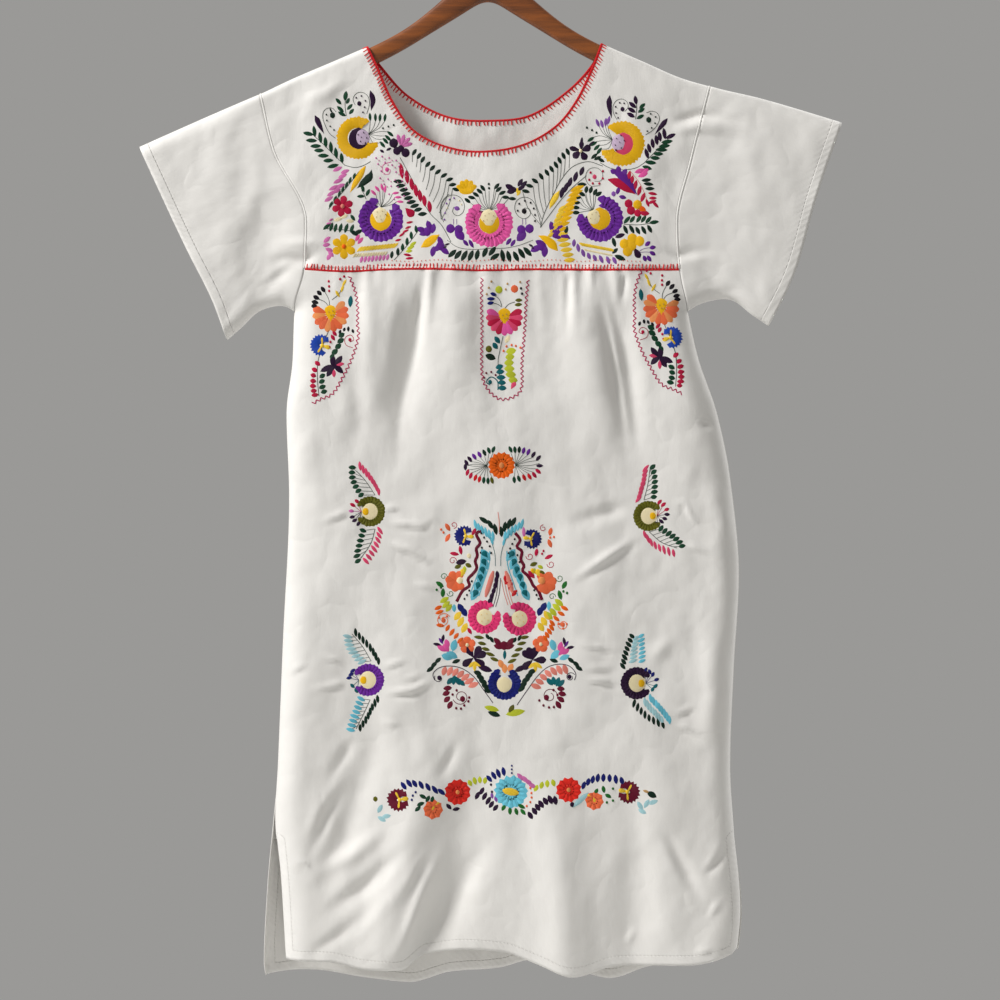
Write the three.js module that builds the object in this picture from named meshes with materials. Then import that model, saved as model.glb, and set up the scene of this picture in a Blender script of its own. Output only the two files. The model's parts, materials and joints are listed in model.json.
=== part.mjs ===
// A white cotton dress, hung flat on a plain wooden hanger: a yoke with a scooped neck, a skirt
// gathered under it with a slit at each side, and two loose set-in sleeves.
// Millimetres, +Z up, the front of the dress towards -Y. The origin is the inside top of the hook.
// Right and left are the wearer's: the right sleeve is at -X.
import * as THREE from "three";

// ---- Driving sizes ----
const WALL = 1.5; // thickness of the cloth
const SEAM_GAP = 0.5; // clearance between two sewn pieces
const SHOULDER_ROLL = 8; // radius of the cloth where it rolls over the hanger
const SIDE_ROLL = 30; // width of the soft fold down each side
const YOKE_SEAM = -410; // height of the seam under the yoke
const ARMPIT = -458; // height of the armpits
const SLIT_TOP = -1066; // height where the side seams end
const SLIT_SPREAD = 3; // how far each panel stands off at the hem, below a slit
const HEM = -1205; // height of a level hem, before its waves
const HEM_REACH = 260; // how far up the hem's waves are felt
const WIRE = 1.8; // radius of the hook's wire
const HOOK_BEND = 17; // inside radius of the hook

// ---- Materials ----
const COTTON = { color: 0xece8dd, roughness: 0.85, metalness: 0 };
const VARNISHED_WOOD = { color: 0xa05a24, roughness: 0.35, metalness: 0 };
const STEEL = { color: 0xb9bcc0, roughness: 0.25, metalness: 1 };

// ---- Outlines, seen from the front ----
// The top edge of the dress from cuff to cuff, along both shoulders.
const TOP_EDGE = [
  { x: -400, z: -269 },
  { x: -317, z: -232 },
  { x: -261, z: -208 },
  { x: -225, z: -191 },
  { x: -176, z: -170 },
  { x: -139, z: -154 },
  { x: -100, z: -137 },
  { x: 100, z: -137 },
  { x: 131, z: -150.5 },
  { x: 176, z: -170 },
  { x: 225, z: -191 },
  { x: 269, z: -203 },
  { x: 316, z: -214 },
  { x: 406, z: -241 },
];

// The side edges of the body: slit edges, side seams, then armhole seams from the armpit up.
const RIGHT_EDGE = [
  { z: -1222, front: -231, back: -252 },
  { z: -1190, front: -233, back: -258 },
  { z: -1110, front: -238, back: -254 },
  { z: -1040, front: -244, back: -247 },
  { z: -980, front: -241, back: -241 },
  { z: -834, front: -235, back: -235 },
  { z: -672, front: -228, back: -228 },
  { z: -576, front: -231, back: -231 },
  { z: -514, front: -224, back: -224 },
  { z: -458, front: -222, back: -222 },
  { z: -410, front: -210, back: -210 },
  { z: -356, front: -208, back: -208 },
  { z: -272, front: -246, back: -246 },
  { z: -208, front: -261, back: -261 },
];
const LEFT_EDGE = [
  { z: -1222, front: 284, back: 286 },
  { z: -1164, front: 290, back: 292 },
  { z: -1053, front: 282, back: 282 },
  { z: -980, front: 278, back: 278 },
  { z: -870, front: 282, back: 282 },
  { z: -760, front: 288, back: 288 },
  { z: -650, front: 278, back: 278 },
  { z: -576, front: 263, back: 263 },
  { z: -511, front: 241, back: 241 },
  { z: -458, front: 229, back: 229 },
  { z: -410, front: 219, back: 219 },
  { z: -358, front: 216, back: 216 },
  { z: -286, front: 232, back: 232 },
  { z: -199, front: 254, back: 254 },
];

// The neck hole's front and back curves, from the right shoulder to the left, between the two
// places where it crosses the shoulders.
const NECK_SHOULDERS = { right: -139, left: 131 };
const FRONT_NECK = [
  { x: -127, z: -179 },
  { x: -109, z: -219 },
  { x: -84, z: -252 },
  { x: -42, z: -271 },
  { x: 0, z: -275 },
  { x: 44, z: -266 },
  { x: 80, z: -244 },
  { x: 102, z: -216 },
  { x: 120, z: -179 },
];
const BACK_NECK = [
  { x: -124, z: -175 },
  { x: -93, z: -208 },
  { x: -45, z: -233 },
  { x: 2, z: -237 },
  { x: 48, z: -231 },
  { x: 92, z: -203 },
  { x: 120, z: -174 },
];

// ---- How far the cloth stands from the middle plane, beyond the shoulder roll ----
const SWELL = [
  { z: -1226, front: 19, back: 13 },
  { z: -900, front: 17, back: 11 },
  { z: -600, front: 13, back: 8 },
  { z: -410, front: 7, back: 4 },
  { z: -280, front: 3, back: 2 },
  { z: -150, front: 0, back: 0 },
];

// ---- The wavy hems ----
const FRONT_HEM = [
  { x: -236, z: -1200 },
  { x: -182, z: -1201 },
  { x: -136, z: -1210 },
  { x: -101, z: -1211 },
  { x: -70, z: -1192 },
  { x: -22, z: -1187 },
  { x: 17, z: -1190 },
  { x: 58, z: -1204 },
  { x: 97, z: -1217 },
  { x: 148, z: -1206 },
  { x: 229, z: -1205 },
  { x: 278, z: -1194 },
  { x: 290, z: -1184 },
];
const BACK_HEM = [
  { x: -258, z: -1222 },
  { x: -215, z: -1219 },
  { x: -136, z: -1229 },
  { x: -90, z: -1234 },
  { x: -41, z: -1220 },
  { x: 11, z: -1217 },
  { x: 50, z: -1208 },
  { x: 100, z: -1219 },
  { x: 141, z: -1230 },
  { x: 184, z: -1216 },
  { x: 259, z: -1204 },
  { x: 292, z: -1190 },
];

// ---- The largest folds: soft ridges (rise > 0) and troughs that run from a top to a foot ----
const FRONT_FOLDS = [
  { topX: -120, topZ: -415, footX: -140, footZ: -640, width: 34, rise: 4 },
  { topX: -82, topZ: -430, footX: -108, footZ: -660, width: 26, rise: -5 },
  { topX: -30, topZ: -415, footX: -40, footZ: -600, width: 36, rise: 4 },
  { topX: 100, topZ: -415, footX: 140, footZ: -640, width: 34, rise: 5 },
  { topX: 142, topZ: -430, footX: 172, footZ: -660, width: 24, rise: -5 },
  { topX: -55, topZ: -930, footX: -135, footZ: -1240, width: 38, rise: 8 },
  { topX: 0, topZ: -900, footX: -60, footZ: -1240, width: 42, rise: -7 },
  { topX: -110, topZ: -900, footX: -200, footZ: -1160, width: 24, rise: -5 },
  { topX: 70, topZ: -900, footX: 95, footZ: -1270, width: 46, rise: 8 },
  { topX: 165, topZ: -930, footX: 170, footZ: -1260, width: 36, rise: -5 },
];
const BACK_FOLDS = [
  { topX: -110, topZ: -415, footX: -130, footZ: -720, width: 36, rise: 4 },
  { topX: -60, topZ: -420, footX: -75, footZ: -700, width: 30, rise: -4 },
  { topX: 60, topZ: -415, footX: 85, footZ: -740, width: 38, rise: 4 },
  { topX: 120, topZ: -430, footX: 140, footZ: -680, width: 28, rise: -4 },
  { topX: -120, topZ: -820, footX: -100, footZ: -1270, width: 44, rise: 6 },
  { topX: -30, topZ: -860, footX: -45, footZ: -1270, width: 40, rise: -5 },
  { topX: 110, topZ: -840, footX: 140, footZ: -1270, width: 46, rise: 6 },
  { topX: 50, topZ: -880, footX: 45, footZ: -1260, width: 34, rise: -4 },
];

// ---- Sleeves: cuff, underarm edge, and half the thickness of the flattened tube ----
const SLEEVES = [
  {
    name: "sleeve_right",
    out: -1,
    edge: RIGHT_EDGE,
    cuff: [
      { x: -400, z: -269 },
      { x: -348, z: -381 },
      { x: -315, z: -447 },
      { x: -299, z: -491 },
    ],
    underarm: [
      { x: -222, z: -458 },
      { x: -236, z: -452 },
      { x: -262, z: -458 },
      { x: -283, z: -477 },
      { x: -299, z: -491 },
    ],
  },
  {
    name: "sleeve_left",
    out: 1,
    edge: LEFT_EDGE,
    cuff: [
      { x: 406, z: -241 },
      { x: 377, z: -325 },
      { x: 351, z: -415 },
      { x: 322, z: -475 },
    ],
    underarm: [
      { x: 229, z: -458 },
      { x: 246, z: -449 },
      { x: 278, z: -445 },
      { x: 304, z: -463 },
      { x: 322, z: -475 },
    ],
  },
];
const SLEEVE_DEPTH = { armhole: 11, cuff: 14, roll: 16 };

// ---- The hanger, from its middle to one end ----
const HANGER_SECTIONS = [
  { x: 0, top: -62, bottom: -102, thick: 14 },
  { x: 11, top: -63, bottom: -105, thick: 14 },
  { x: 22, top: -71, bottom: -112, thick: 13.5 },
  { x: 38, top: -86, bottom: -122, thick: 13 },
  { x: 53, top: -100, bottom: -131, thick: 12.6 },
  { x: 76, top: -120, bottom: -145, thick: 12.2 },
  { x: 102, top: -138.6, bottom: -161, thick: 12 },
  { x: 140, top: -157.2, bottom: -180, thick: 12 },
  { x: 176, top: -172.7, bottom: -196, thick: 12 },
  { x: 205, top: -185.8, bottom: -208, thick: 12 },
  { x: 217, top: -191.8, bottom: -211.5, thick: 11 },
  { x: 223, top: -195, bottom: -209, thick: 8 },
];

// ---- Spacing of the grids that the cloth is worked out on ----
const ROLL_STEPS = [0, 0.08, 0.29, 0.62, 1]; // fractions of a roll's width, close where it turns
const SHOULDER_STEPS = [0, 1.2, 4, 8.5, 16]; // distances down from the top edge
const ARMHOLE_ROWS = 7;
const ARMPIT_ROWS = [0, 3.5, 11, 27, 48]; // distances up from the armpit to the yoke seam
const SEAM_COLUMNS = 12;
const SKIRT_COLUMNS = 20;
const SKIRT_ROWS = 17;
const YOKE_RINGS = 6;
const SLEEVE_STATIONS = [0, 0.07, 0.2, 0.35, 0.5, 0.65, 0.83, 1];

// ---- Curves ----
// A smooth curve of one column against another that never overshoots its rows.
function curveOf(rows, key, value) {
  const keys = rows.map((row) => row[key]);
  const values = rows.map((row) => row[value]);
  const last = keys.length - 1;
  const slope = (i) => (values[i + 1] - values[i]) / (keys[i + 1] - keys[i]);
  const tangent = keys.map((_, i) => {
    if (i === 0) return slope(0);
    if (i === last) return slope(last - 1);
    const before = slope(i - 1);
    const after = slope(i);
    return before * after <= 0 ? 0 : (2 * before * after) / (before + after);
  });
  return (at) => {
    const key = THREE.MathUtils.clamp(at, keys[0], keys[last]);
    const i = Math.min(keys.findLastIndex((k) => k <= key), last - 1);
    const span = keys[i + 1] - keys[i];
    const t = (key - keys[i]) / span;
    const rise = t * t * (3 - 2 * t);
    const lead = t * (1 - t) * (1 - t);
    const trail = t * t * (t - 1);
    const bend = span * (tangent[i] * lead + tangent[i + 1] * trail);
    return THREE.MathUtils.lerp(values[i], values[i + 1], rise) + bend;
  };
}

// A smooth outline through rows of x and z, in the middle plane.
function outline(rows) {
  return new THREE.CatmullRomCurve3(
    rows.map((row) => new THREE.Vector3(row.x, 0, row.z)),
    false,
    "centripetal",
  );
}

// Numbers from start to end in equal steps, without the first.
function evenly(start, end, steps) {
  return Array.from({ length: steps }, (_, i) => THREE.MathUtils.lerp(start, end, (i + 1) / steps));
}

const quarterRound = (t) => Math.sqrt(1 - (1 - Math.min(Math.max(t, 0), 1)) ** 2);
const topEdge = curveOf(TOP_EDGE, "x", "z");

// ---- The body's two faces ----
function face(side, sign, folds, hem) {
  return {
    sign,
    folds,
    hem: curveOf(hem, "x", "z"),
    swell: curveOf(SWELL, "z", side),
    rightEdge: curveOf(RIGHT_EDGE, "z", side),
    leftEdge: curveOf(LEFT_EDGE, "z", side),
  };
}
const FRONT = face("front", -1, FRONT_FOLDS, FRONT_HEM);
const BACK = face("back", 1, BACK_FOLDS, BACK_HEM);

// Height of all the folds at a place: each is a rounded bump that fades at its top and foot.
function relief(folds, x, z) {
  let height = 0;
  for (const fold of folds) {
    const along = (fold.topZ - z) / (fold.topZ - fold.footZ);
    if (along <= 0 || along >= 1) continue;
    const middle = THREE.MathUtils.lerp(fold.topX, fold.footX, along);
    const across = Math.abs(x - middle) / fold.width;
    if (across >= 1) continue;
    height += fold.rise * Math.cos((across * Math.PI) / 2) ** 2 * Math.sin(along * Math.PI) ** 0.7;
  }
  return height;
}

// How near the soft side folds come: 0 on a side seam or at an armpit, 1 where the cloth is flat.
function sideRoll(panel, x, z) {
  const height = Math.min(z, ARMPIT);
  const right = Math.max(x - panel.rightEdge(height), 0);
  const left = Math.max(panel.leftEdge(height) - x, 0);
  return quarterRound(Math.hypot(Math.min(right, left), z - height) / SIDE_ROLL);
}

// Distance of a face from the middle plane.
function depth(panel, x, z) {
  const shoulder = quarterRound((topEdge(x) - z) / SHOULDER_ROLL);
  const body = SHOULDER_ROLL + panel.swell(z) + relief(panel.folds, x, z);
  return shoulder * sideRoll(panel, x, z) * body;
}

function onBody(panel, x, z) {
  const step = 0.01;
  const slopeX = (depth(panel, x + step, z) - depth(panel, x - step, z)) / (2 * step);
  const slopeZ = (depth(panel, x, z + step) - depth(panel, x, z - step)) / (2 * step);
  return {
    point: new THREE.Vector3(x, panel.sign * depth(panel, x, z), z),
    normal: new THREE.Vector3(-slopeX, panel.sign, -slopeZ).normalize(),
  };
}

// ---- Solids ----
// A wall of cloth. The grid gives its outer sheet as points and outward normals, row by row, and
// the inner sheet lies a wall's thickness behind it. Closed rows run all the way round.
function clothWall(grid, closed) {
  const columns = grid[0].length;
  const spots = grid.flat();
  const positions = spots.flatMap(({ point }) => point.toArray());
  for (const { point, normal } of spots) {
    positions.push(...point.clone().addScaledVector(normal, -WALL).toArray());
  }
  const at = (row, column) => row * columns + (column % columns);
  const [a, b, c] = [at(1, 1), at(1, 2), at(2, 1)].map((i) => spots[i].point);
  const cross = b.clone().sub(a).cross(c.clone().sub(a));
  const outwards = cross.dot(spots[at(1, 1)].normal) > 0;
  const outer = [];
  for (let row = 0; row < grid.length - 1; row++) {
    for (let column = 0; column < (closed ? columns : columns - 1); column++) {
      const quad = [[0, 0], [0, 1], [1, 1], [1, 0]].map(([down, on]) => at(row + down, column + on));
      if (!outwards) quad.reverse();
      outer.push([quad[0], quad[1], quad[2]], [quad[0], quad[2], quad[3]]);
    }
  }
  const inner = outer.map(([p, q, r]) => [r + spots.length, q + spots.length, p + spots.length]);
  const sides = outer.flatMap(([p, q, r]) => [[p, q], [q, r], [r, p]]);
  const known = new Set(sides.map(([p, q]) => p + " " + q));
  const rim = sides
    .filter(([p, q]) => !known.has(q + " " + p))
    .flatMap(([p, q]) => [
      [q, p, p + spots.length],
      [q, p + spots.length, q + spots.length],
    ]);
  return solid(positions, [...outer, ...inner, ...rim]);
}

// A solid through closed rings, with a flat cap at each end.
function loft(rings) {
  const around = rings[0].length;
  const positions = rings.flat().flatMap((point) => point.toArray());
  const triangles = [];
  for (let ring = 0; ring < rings.length - 1; ring++) {
    for (let i = 0; i < around; i++) {
      const [p, q] = [ring * around + i, ring * around + ((i + 1) % around)];
      triangles.push([p, q, q + around], [p, q + around, p + around]);
    }
  }
  const lastRing = (rings.length - 1) * around;
  for (let i = 1; i < around - 1; i++) {
    triangles.push([0, i + 1, i], [lastRing, lastRing + i, lastRing + i + 1]);
  }
  return solid(positions, triangles);
}

function solid(positions, triangles) {
  const geometry = new THREE.BufferGeometry();
  geometry.setAttribute("position", new THREE.Float32BufferAttribute(positions, 3));
  geometry.setIndex(triangles.flat());
  geometry.computeVertexNormals();
  return geometry;
}

// ---- The skirt ----
// Distances across a panel: close together in the side rolls, even between them.
function acrossPanel(width) {
  const rolled = ROLL_STEPS.map((t) => t * SIDE_ROLL);
  const middle = evenly(SIDE_ROLL, width - SIDE_ROLL, SKIRT_COLUMNS).slice(0, -1);
  return [...rolled, ...middle, ...rolled.map((d) => width - d).reverse()];
}

function skirtPanel(panel) {
  const shoulder = ARMPIT_ROWS.map((rise) => ARMPIT + rise).reverse();
  shoulder[0] = YOKE_SEAM - SEAM_GAP / 2;
  const heights = [...shoulder, ...evenly(ARMPIT, HEM, SKIRT_ROWS)];
  const grid = heights.map((level) => {
    const right = panel.rightEdge(level);
    const nearHem = THREE.MathUtils.smoothstep(HEM + HEM_REACH - level, 0, HEM_REACH);
    const spread = SLIT_SPREAD * THREE.MathUtils.clamp((SLIT_TOP - level) / (SLIT_TOP - HEM), 0, 1);
    return acrossPanel(panel.leftEdge(level) - right).map((distance) => {
      const x = right + distance;
      const spot = onBody(panel, x, level);
      spot.point.z += (panel.hem(x) - HEM) * nearHem;
      spot.point.y += panel.sign * (SEAM_GAP / 2 + spread);
      return spot;
    });
  });
  return clothWall(grid, false);
}

// ---- The yoke ----
// On the yoke a place is its x and its reach, the way down the cloth from the shoulder's crest.
const QUARTER_TURN = (SHOULDER_ROLL * Math.PI) / 2;

function reachOf(x, z) {
  const drop = topEdge(x) - z;
  if (drop >= SHOULDER_ROLL) return QUARTER_TURN + drop - SHOULDER_ROLL;
  return SHOULDER_ROLL * Math.acos(1 - Math.max(drop, 0) / SHOULDER_ROLL);
}

function onYoke(x, signedReach) {
  const reach = Math.abs(signedReach);
  const turn = Math.min(reach / SHOULDER_ROLL, Math.PI / 2);
  const drop = SHOULDER_ROLL * (1 - Math.cos(turn)) + Math.max(reach - QUARTER_TURN, 0);
  return onBody(signedReach < 0 ? BACK : FRONT, x, topEdge(x) - drop);
}

// Places down an armhole seam, from the shoulder's crest to the yoke seam.
function armholeHeights(edge) {
  const crest = edge.at(-1).z;
  const start = SHOULDER_STEPS.map((drop) => crest - drop);
  return [...start, ...evenly(start.at(-1), YOKE_SEAM, ARMHOLE_ROWS)];
}

// One face's outer edge: down the right armhole, along the yoke seam and up the left armhole.
function yokeRim(panel) {
  const right = armholeHeights(RIGHT_EDGE).map((z) => ({ x: panel.rightEdge(z), z }));
  const left = armholeHeights(LEFT_EDGE).map((z) => ({ x: panel.leftEdge(z), z }));
  const seam = evenly(right.at(-1).x, left.at(-1).x, SEAM_COLUMNS)
    .slice(0, -1)
    .map((x) => ({ x, z: YOKE_SEAM }));
  const rim = [...right, ...seam, ...left.reverse()];
  return rim.map(({ x, z }) => ({ x, z: Math.max(z, YOKE_SEAM + SEAM_GAP / 2) }));
}

// The same number of places along a neck curve, close together where it crosses each shoulder.
function neckRim(rows, count) {
  const crossings = [NECK_SHOULDERS.right, NECK_SHOULDERS.left];
  const [first, last] = crossings.map((x) => ({ x, z: topEdge(x) }));
  const curve = outline([first, ...rows, last]);
  const length = curve.getLength();
  const start = SHOULDER_STEPS;
  const end = start.map((distance) => length - distance).reverse();
  const middle = evenly(start.at(-1), end[0], count + 1 - 2 * start.length);
  return [...start, ...middle, ...end.slice(1)].map((distance) => curve.getPointAt(distance / length));
}

function yoke() {
  const faces = [
    { panel: FRONT, neck: FRONT_NECK },
    { panel: BACK, neck: BACK_NECK },
  ];
  const rims = faces.map(({ panel, neck }) => {
    const outer = yokeRim(panel);
    const inner = neckRim(neck, outer.length);
    const spokes = outer.map((spot, i) => ({
      inner: { x: inner[i].x, reach: -panel.sign * reachOf(inner[i].x, inner[i].z) },
      outer: { x: spot.x, reach: -panel.sign * reachOf(spot.x, spot.z) },
    }));
    return panel === FRONT ? spokes : spokes.slice(1, -1).reverse();
  });
  const spokes = rims.flat();
  const grid = Array.from({ length: YOKE_RINGS + 1 }, (_, ring) => {
    const t = ring / YOKE_RINGS;
    return spokes.map(({ inner, outer }) =>
      onYoke(
        THREE.MathUtils.lerp(inner.x, outer.x, t),
        THREE.MathUtils.lerp(inner.reach, outer.reach, t),
      ),
    );
  });
  return clothWall(grid, true);
}

// ---- The sleeves ----
// A flattened tube between four edges: the armhole, the cuff, the top edge and the underarm edge.
function sleeve({ edge, out, cuff, underarm }) {
  const crest = edge.at(-1);
  const armhole = curveOf(edge, "z", "front");
  const belowYoke = ARMPIT_ROWS.slice(0, -1).reverse();
  const heights = [...armholeHeights(edge), ...belowYoke.map((rise) => ARMPIT + rise)];
  const fractions = heights.map((z) => (crest.z - z) / (crest.z - ARMPIT));
  const beyond = TOP_EDGE.filter(({ x }) => x * out > crest.front * out);
  beyond.sort((p, q) => (p.x - q.x) * out);
  const top = outline([{ x: crest.front, z: crest.z }, ...beyond]);
  const bottom = outline(underarm);
  const mouth = outline(cuff);
  const inner = (q) => {
    const z = THREE.MathUtils.lerp(crest.z, ARMPIT, q);
    return new THREE.Vector3(armhole(z), 0, z);
  };

  // A place in the middle plane: s from armhole to cuff, q from top edge to underarm.
  const place = (s, q) => {
    const corners = [
      [inner(0), (1 - s) * (1 - q)],
      [inner(1), (1 - s) * q],
      [mouth.getPointAt(0), s * (1 - q)],
      [mouth.getPointAt(1), s * q],
    ];
    const point = new THREE.Vector3()
      .addScaledVector(inner(q), 1 - s)
      .addScaledVector(mouth.getPointAt(q), s)
      .addScaledVector(top.getPointAt(s), 1 - q)
      .addScaledVector(bottom.getPointAt(s), q);
    for (const [corner, share] of corners) point.addScaledVector(corner, -share);
    return point;
  };
  const half = (panel) =>
    SLEEVE_STATIONS.map((s) =>
      fractions.map((q) => {
        const point = place(s, q);
        const seam = onBody(panel, inner(q).x, inner(q).z);
        const span = place(s, 0).distanceTo(place(s, 1));
        const roll = quarterRound((Math.min(q, 1 - q) * span) / SLEEVE_DEPTH.roll);
        const tube = roll * THREE.MathUtils.lerp(SLEEVE_DEPTH.armhole, SLEEVE_DEPTH.cuff, s);
        const free = THREE.MathUtils.smoothstep(s, 0, 0.4);
        point.y = panel.sign * THREE.MathUtils.lerp(Math.abs(seam.point.y), tube, free);
        point.x += out * SEAM_GAP;
        return { point, normal: seam.normal };
      }),
    );
  const [front, back] = [half(FRONT), half(BACK)];
  const rings = front.map((row, i) => [...row, ...back[i].slice(1, -1).reverse()]);
  return clothWall(withNormals(rings, out), true);
}

// Outward normals from the neighbours of each place on closed rings, except on the seam's own ring.
function withNormals(rings, out) {
  const around = rings[0].length;
  return rings.map((ring, i) =>
    ring.map((spot, j) => {
      if (i === 0) return spot;
      const ahead = (rings[i + 1] ?? ring)[j].point.clone().sub(rings[i - 1][j].point);
      const beside = ring[(j + 1) % around].point.clone().sub(ring[(j + around - 1) % around].point);
      return { point: spot.point, normal: ahead.cross(beside).multiplyScalar(out).normalize() };
    }),
  );
}

// ---- The hanger ----
function hangerArms() {
  const left = HANGER_SECTIONS.slice(1).map((section) => ({ ...section, x: -section.x }));
  const sections = [...left.reverse(), ...HANGER_SECTIONS];
  const corners = 16;
  const squareness = 0.7; // 1 is an ellipse, less is a box with rounded corners
  const bulge = (v) => Math.sign(v) * Math.abs(v) ** squareness;
  const rings = sections.map(({ x, top, bottom, thick }) =>
    Array.from({ length: corners }, (_, i) => {
      const turn = (i / corners) * 2 * Math.PI;
      const y = (thick / 2) * bulge(Math.cos(turn));
      const z = (top + bottom) / 2 + ((top - bottom) / 2) * bulge(Math.sin(turn));
      return new THREE.Vector3(x, y, z);
    }),
  );
  return loft(rings);
}

function hangerHook() {
  const bend = HOOK_BEND + WIRE;
  const foot = HANGER_SECTIONS[0].top + 0.3;
  const shank = [
    [0, foot],
    [0, -52],
    [0.8, -43.5],
    [4.4, -36.5],
  ];
  const loop = [-52, -30, -5, 20, 45, 68, 90, 112, 135, 160, 185, 205].map((degrees) => {
    const turn = THREE.MathUtils.degToRad(degrees);
    return [bend * Math.cos(turn), bend * Math.sin(turn) - HOOK_BEND];
  });
  const path = outline([...shank, ...loop].map(([x, z]) => ({ x, z })));
  const section = new THREE.Shape().absarc(0, 0, WIRE, 0, 2 * Math.PI);
  return new THREE.ExtrudeGeometry(section, { steps: 44, extrudePath: path, curveSegments: 6 });
}

// ---- The dress on its hanger ----
function mesh(name, geometry, finish) {
  const piece = new THREE.Mesh(geometry, new THREE.MeshStandardMaterial(finish));
  piece.name = name;
  return piece;
}

const dress = new THREE.Group();
dress.add(
  mesh("yoke", yoke(), COTTON),
  mesh("skirt_front", skirtPanel(FRONT), COTTON),
  mesh("skirt_back", skirtPanel(BACK), COTTON),
  ...SLEEVES.map((cut) => mesh(cut.name, sleeve(cut), COTTON)),
  mesh("hanger_arms", hangerArms(), VARNISHED_WOOD),
  mesh("hanger_hook", hangerHook(), STEEL),
);

export default dress;
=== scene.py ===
"""A white cotton dress with a scooped yoke, a gathered skirt and loose sleeves, embroidered in
coloured thread and hung on a varnished wooden hanger.

Cloth is worked out in millimetres and turned into metres when its mesh is made. Z is up, the front
faces -Y and the origin is the inside top of the hook. Right and left are the wearer's."""

import json
import math

import bpy
import numpy as np
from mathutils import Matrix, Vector

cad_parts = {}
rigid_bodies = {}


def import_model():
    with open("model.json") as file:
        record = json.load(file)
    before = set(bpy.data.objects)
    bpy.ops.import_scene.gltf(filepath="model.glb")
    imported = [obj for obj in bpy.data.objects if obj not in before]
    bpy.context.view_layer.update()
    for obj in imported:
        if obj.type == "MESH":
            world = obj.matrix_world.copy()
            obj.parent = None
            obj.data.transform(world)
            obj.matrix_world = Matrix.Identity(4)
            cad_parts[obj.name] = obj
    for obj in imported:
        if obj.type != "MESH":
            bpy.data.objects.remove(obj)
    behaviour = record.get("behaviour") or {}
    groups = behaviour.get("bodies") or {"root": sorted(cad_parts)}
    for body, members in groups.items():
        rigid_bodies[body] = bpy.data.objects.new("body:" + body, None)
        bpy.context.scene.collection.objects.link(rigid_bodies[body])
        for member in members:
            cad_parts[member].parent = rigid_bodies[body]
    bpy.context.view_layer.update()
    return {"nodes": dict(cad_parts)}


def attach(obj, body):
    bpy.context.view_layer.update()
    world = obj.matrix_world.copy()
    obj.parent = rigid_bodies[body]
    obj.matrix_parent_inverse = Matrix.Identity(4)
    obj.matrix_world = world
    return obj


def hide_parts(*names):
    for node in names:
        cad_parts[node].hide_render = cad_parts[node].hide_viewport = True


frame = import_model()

MM = 0.001


# ---- The camera ----
CHART_SQUARE = 1.15  # the embroidery chart is drawn on squares this wide
CHART_MIDDLE = 488  # the chart column that runs down the middle of the dress
CHART_TOP = -100  # height of the chart's first row
CHART_SIZE = 1000  # columns and rows of the whole chart
CAMERA_DISTANCE = 3000
CAMERA_X = (CHART_SIZE / 2 - CHART_MIDDLE) * CHART_SQUARE
CAMERA_Z = CHART_TOP - CHART_SIZE / 2 * CHART_SQUARE
SENSOR = 36.0

camera_data = bpy.data.cameras.new("camera")
camera_data.sensor_width = SENSOR
camera_data.lens = SENSOR * CAMERA_DISTANCE / (CHART_SIZE * CHART_SQUARE)
camera = bpy.data.objects.new("camera", camera_data)
camera.location = (CAMERA_X * MM, -CAMERA_DISTANCE * MM, CAMERA_Z * MM)
camera.rotation_euler = (math.pi / 2, 0, 0)
bpy.context.scene.collection.objects.link(camera)
bpy.context.scene.camera = camera
bpy.context.scene.view_settings.view_transform = "Standard"


# ---- Materials ----
class Value:
    """A number on a shader socket that takes part in plain arithmetic."""

    def __init__(self, graph, socket):
        self.graph = graph
        self.socket = socket

    def maths(self, operation, *values):
        return self.graph.maths(operation, *values)

    def __add__(self, other):
        return self.maths("ADD", self, other)

    def __radd__(self, other):
        return self.maths("ADD", other, self)

    def __sub__(self, other):
        return self.maths("SUBTRACT", self, other)

    def __rsub__(self, other):
        return self.maths("SUBTRACT", other, self)

    def __mul__(self, other):
        return self.maths("MULTIPLY", self, other)

    def __rmul__(self, other):
        return self.maths("MULTIPLY", other, self)

    def __truediv__(self, other):
        return self.maths("DIVIDE", self, other)


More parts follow.
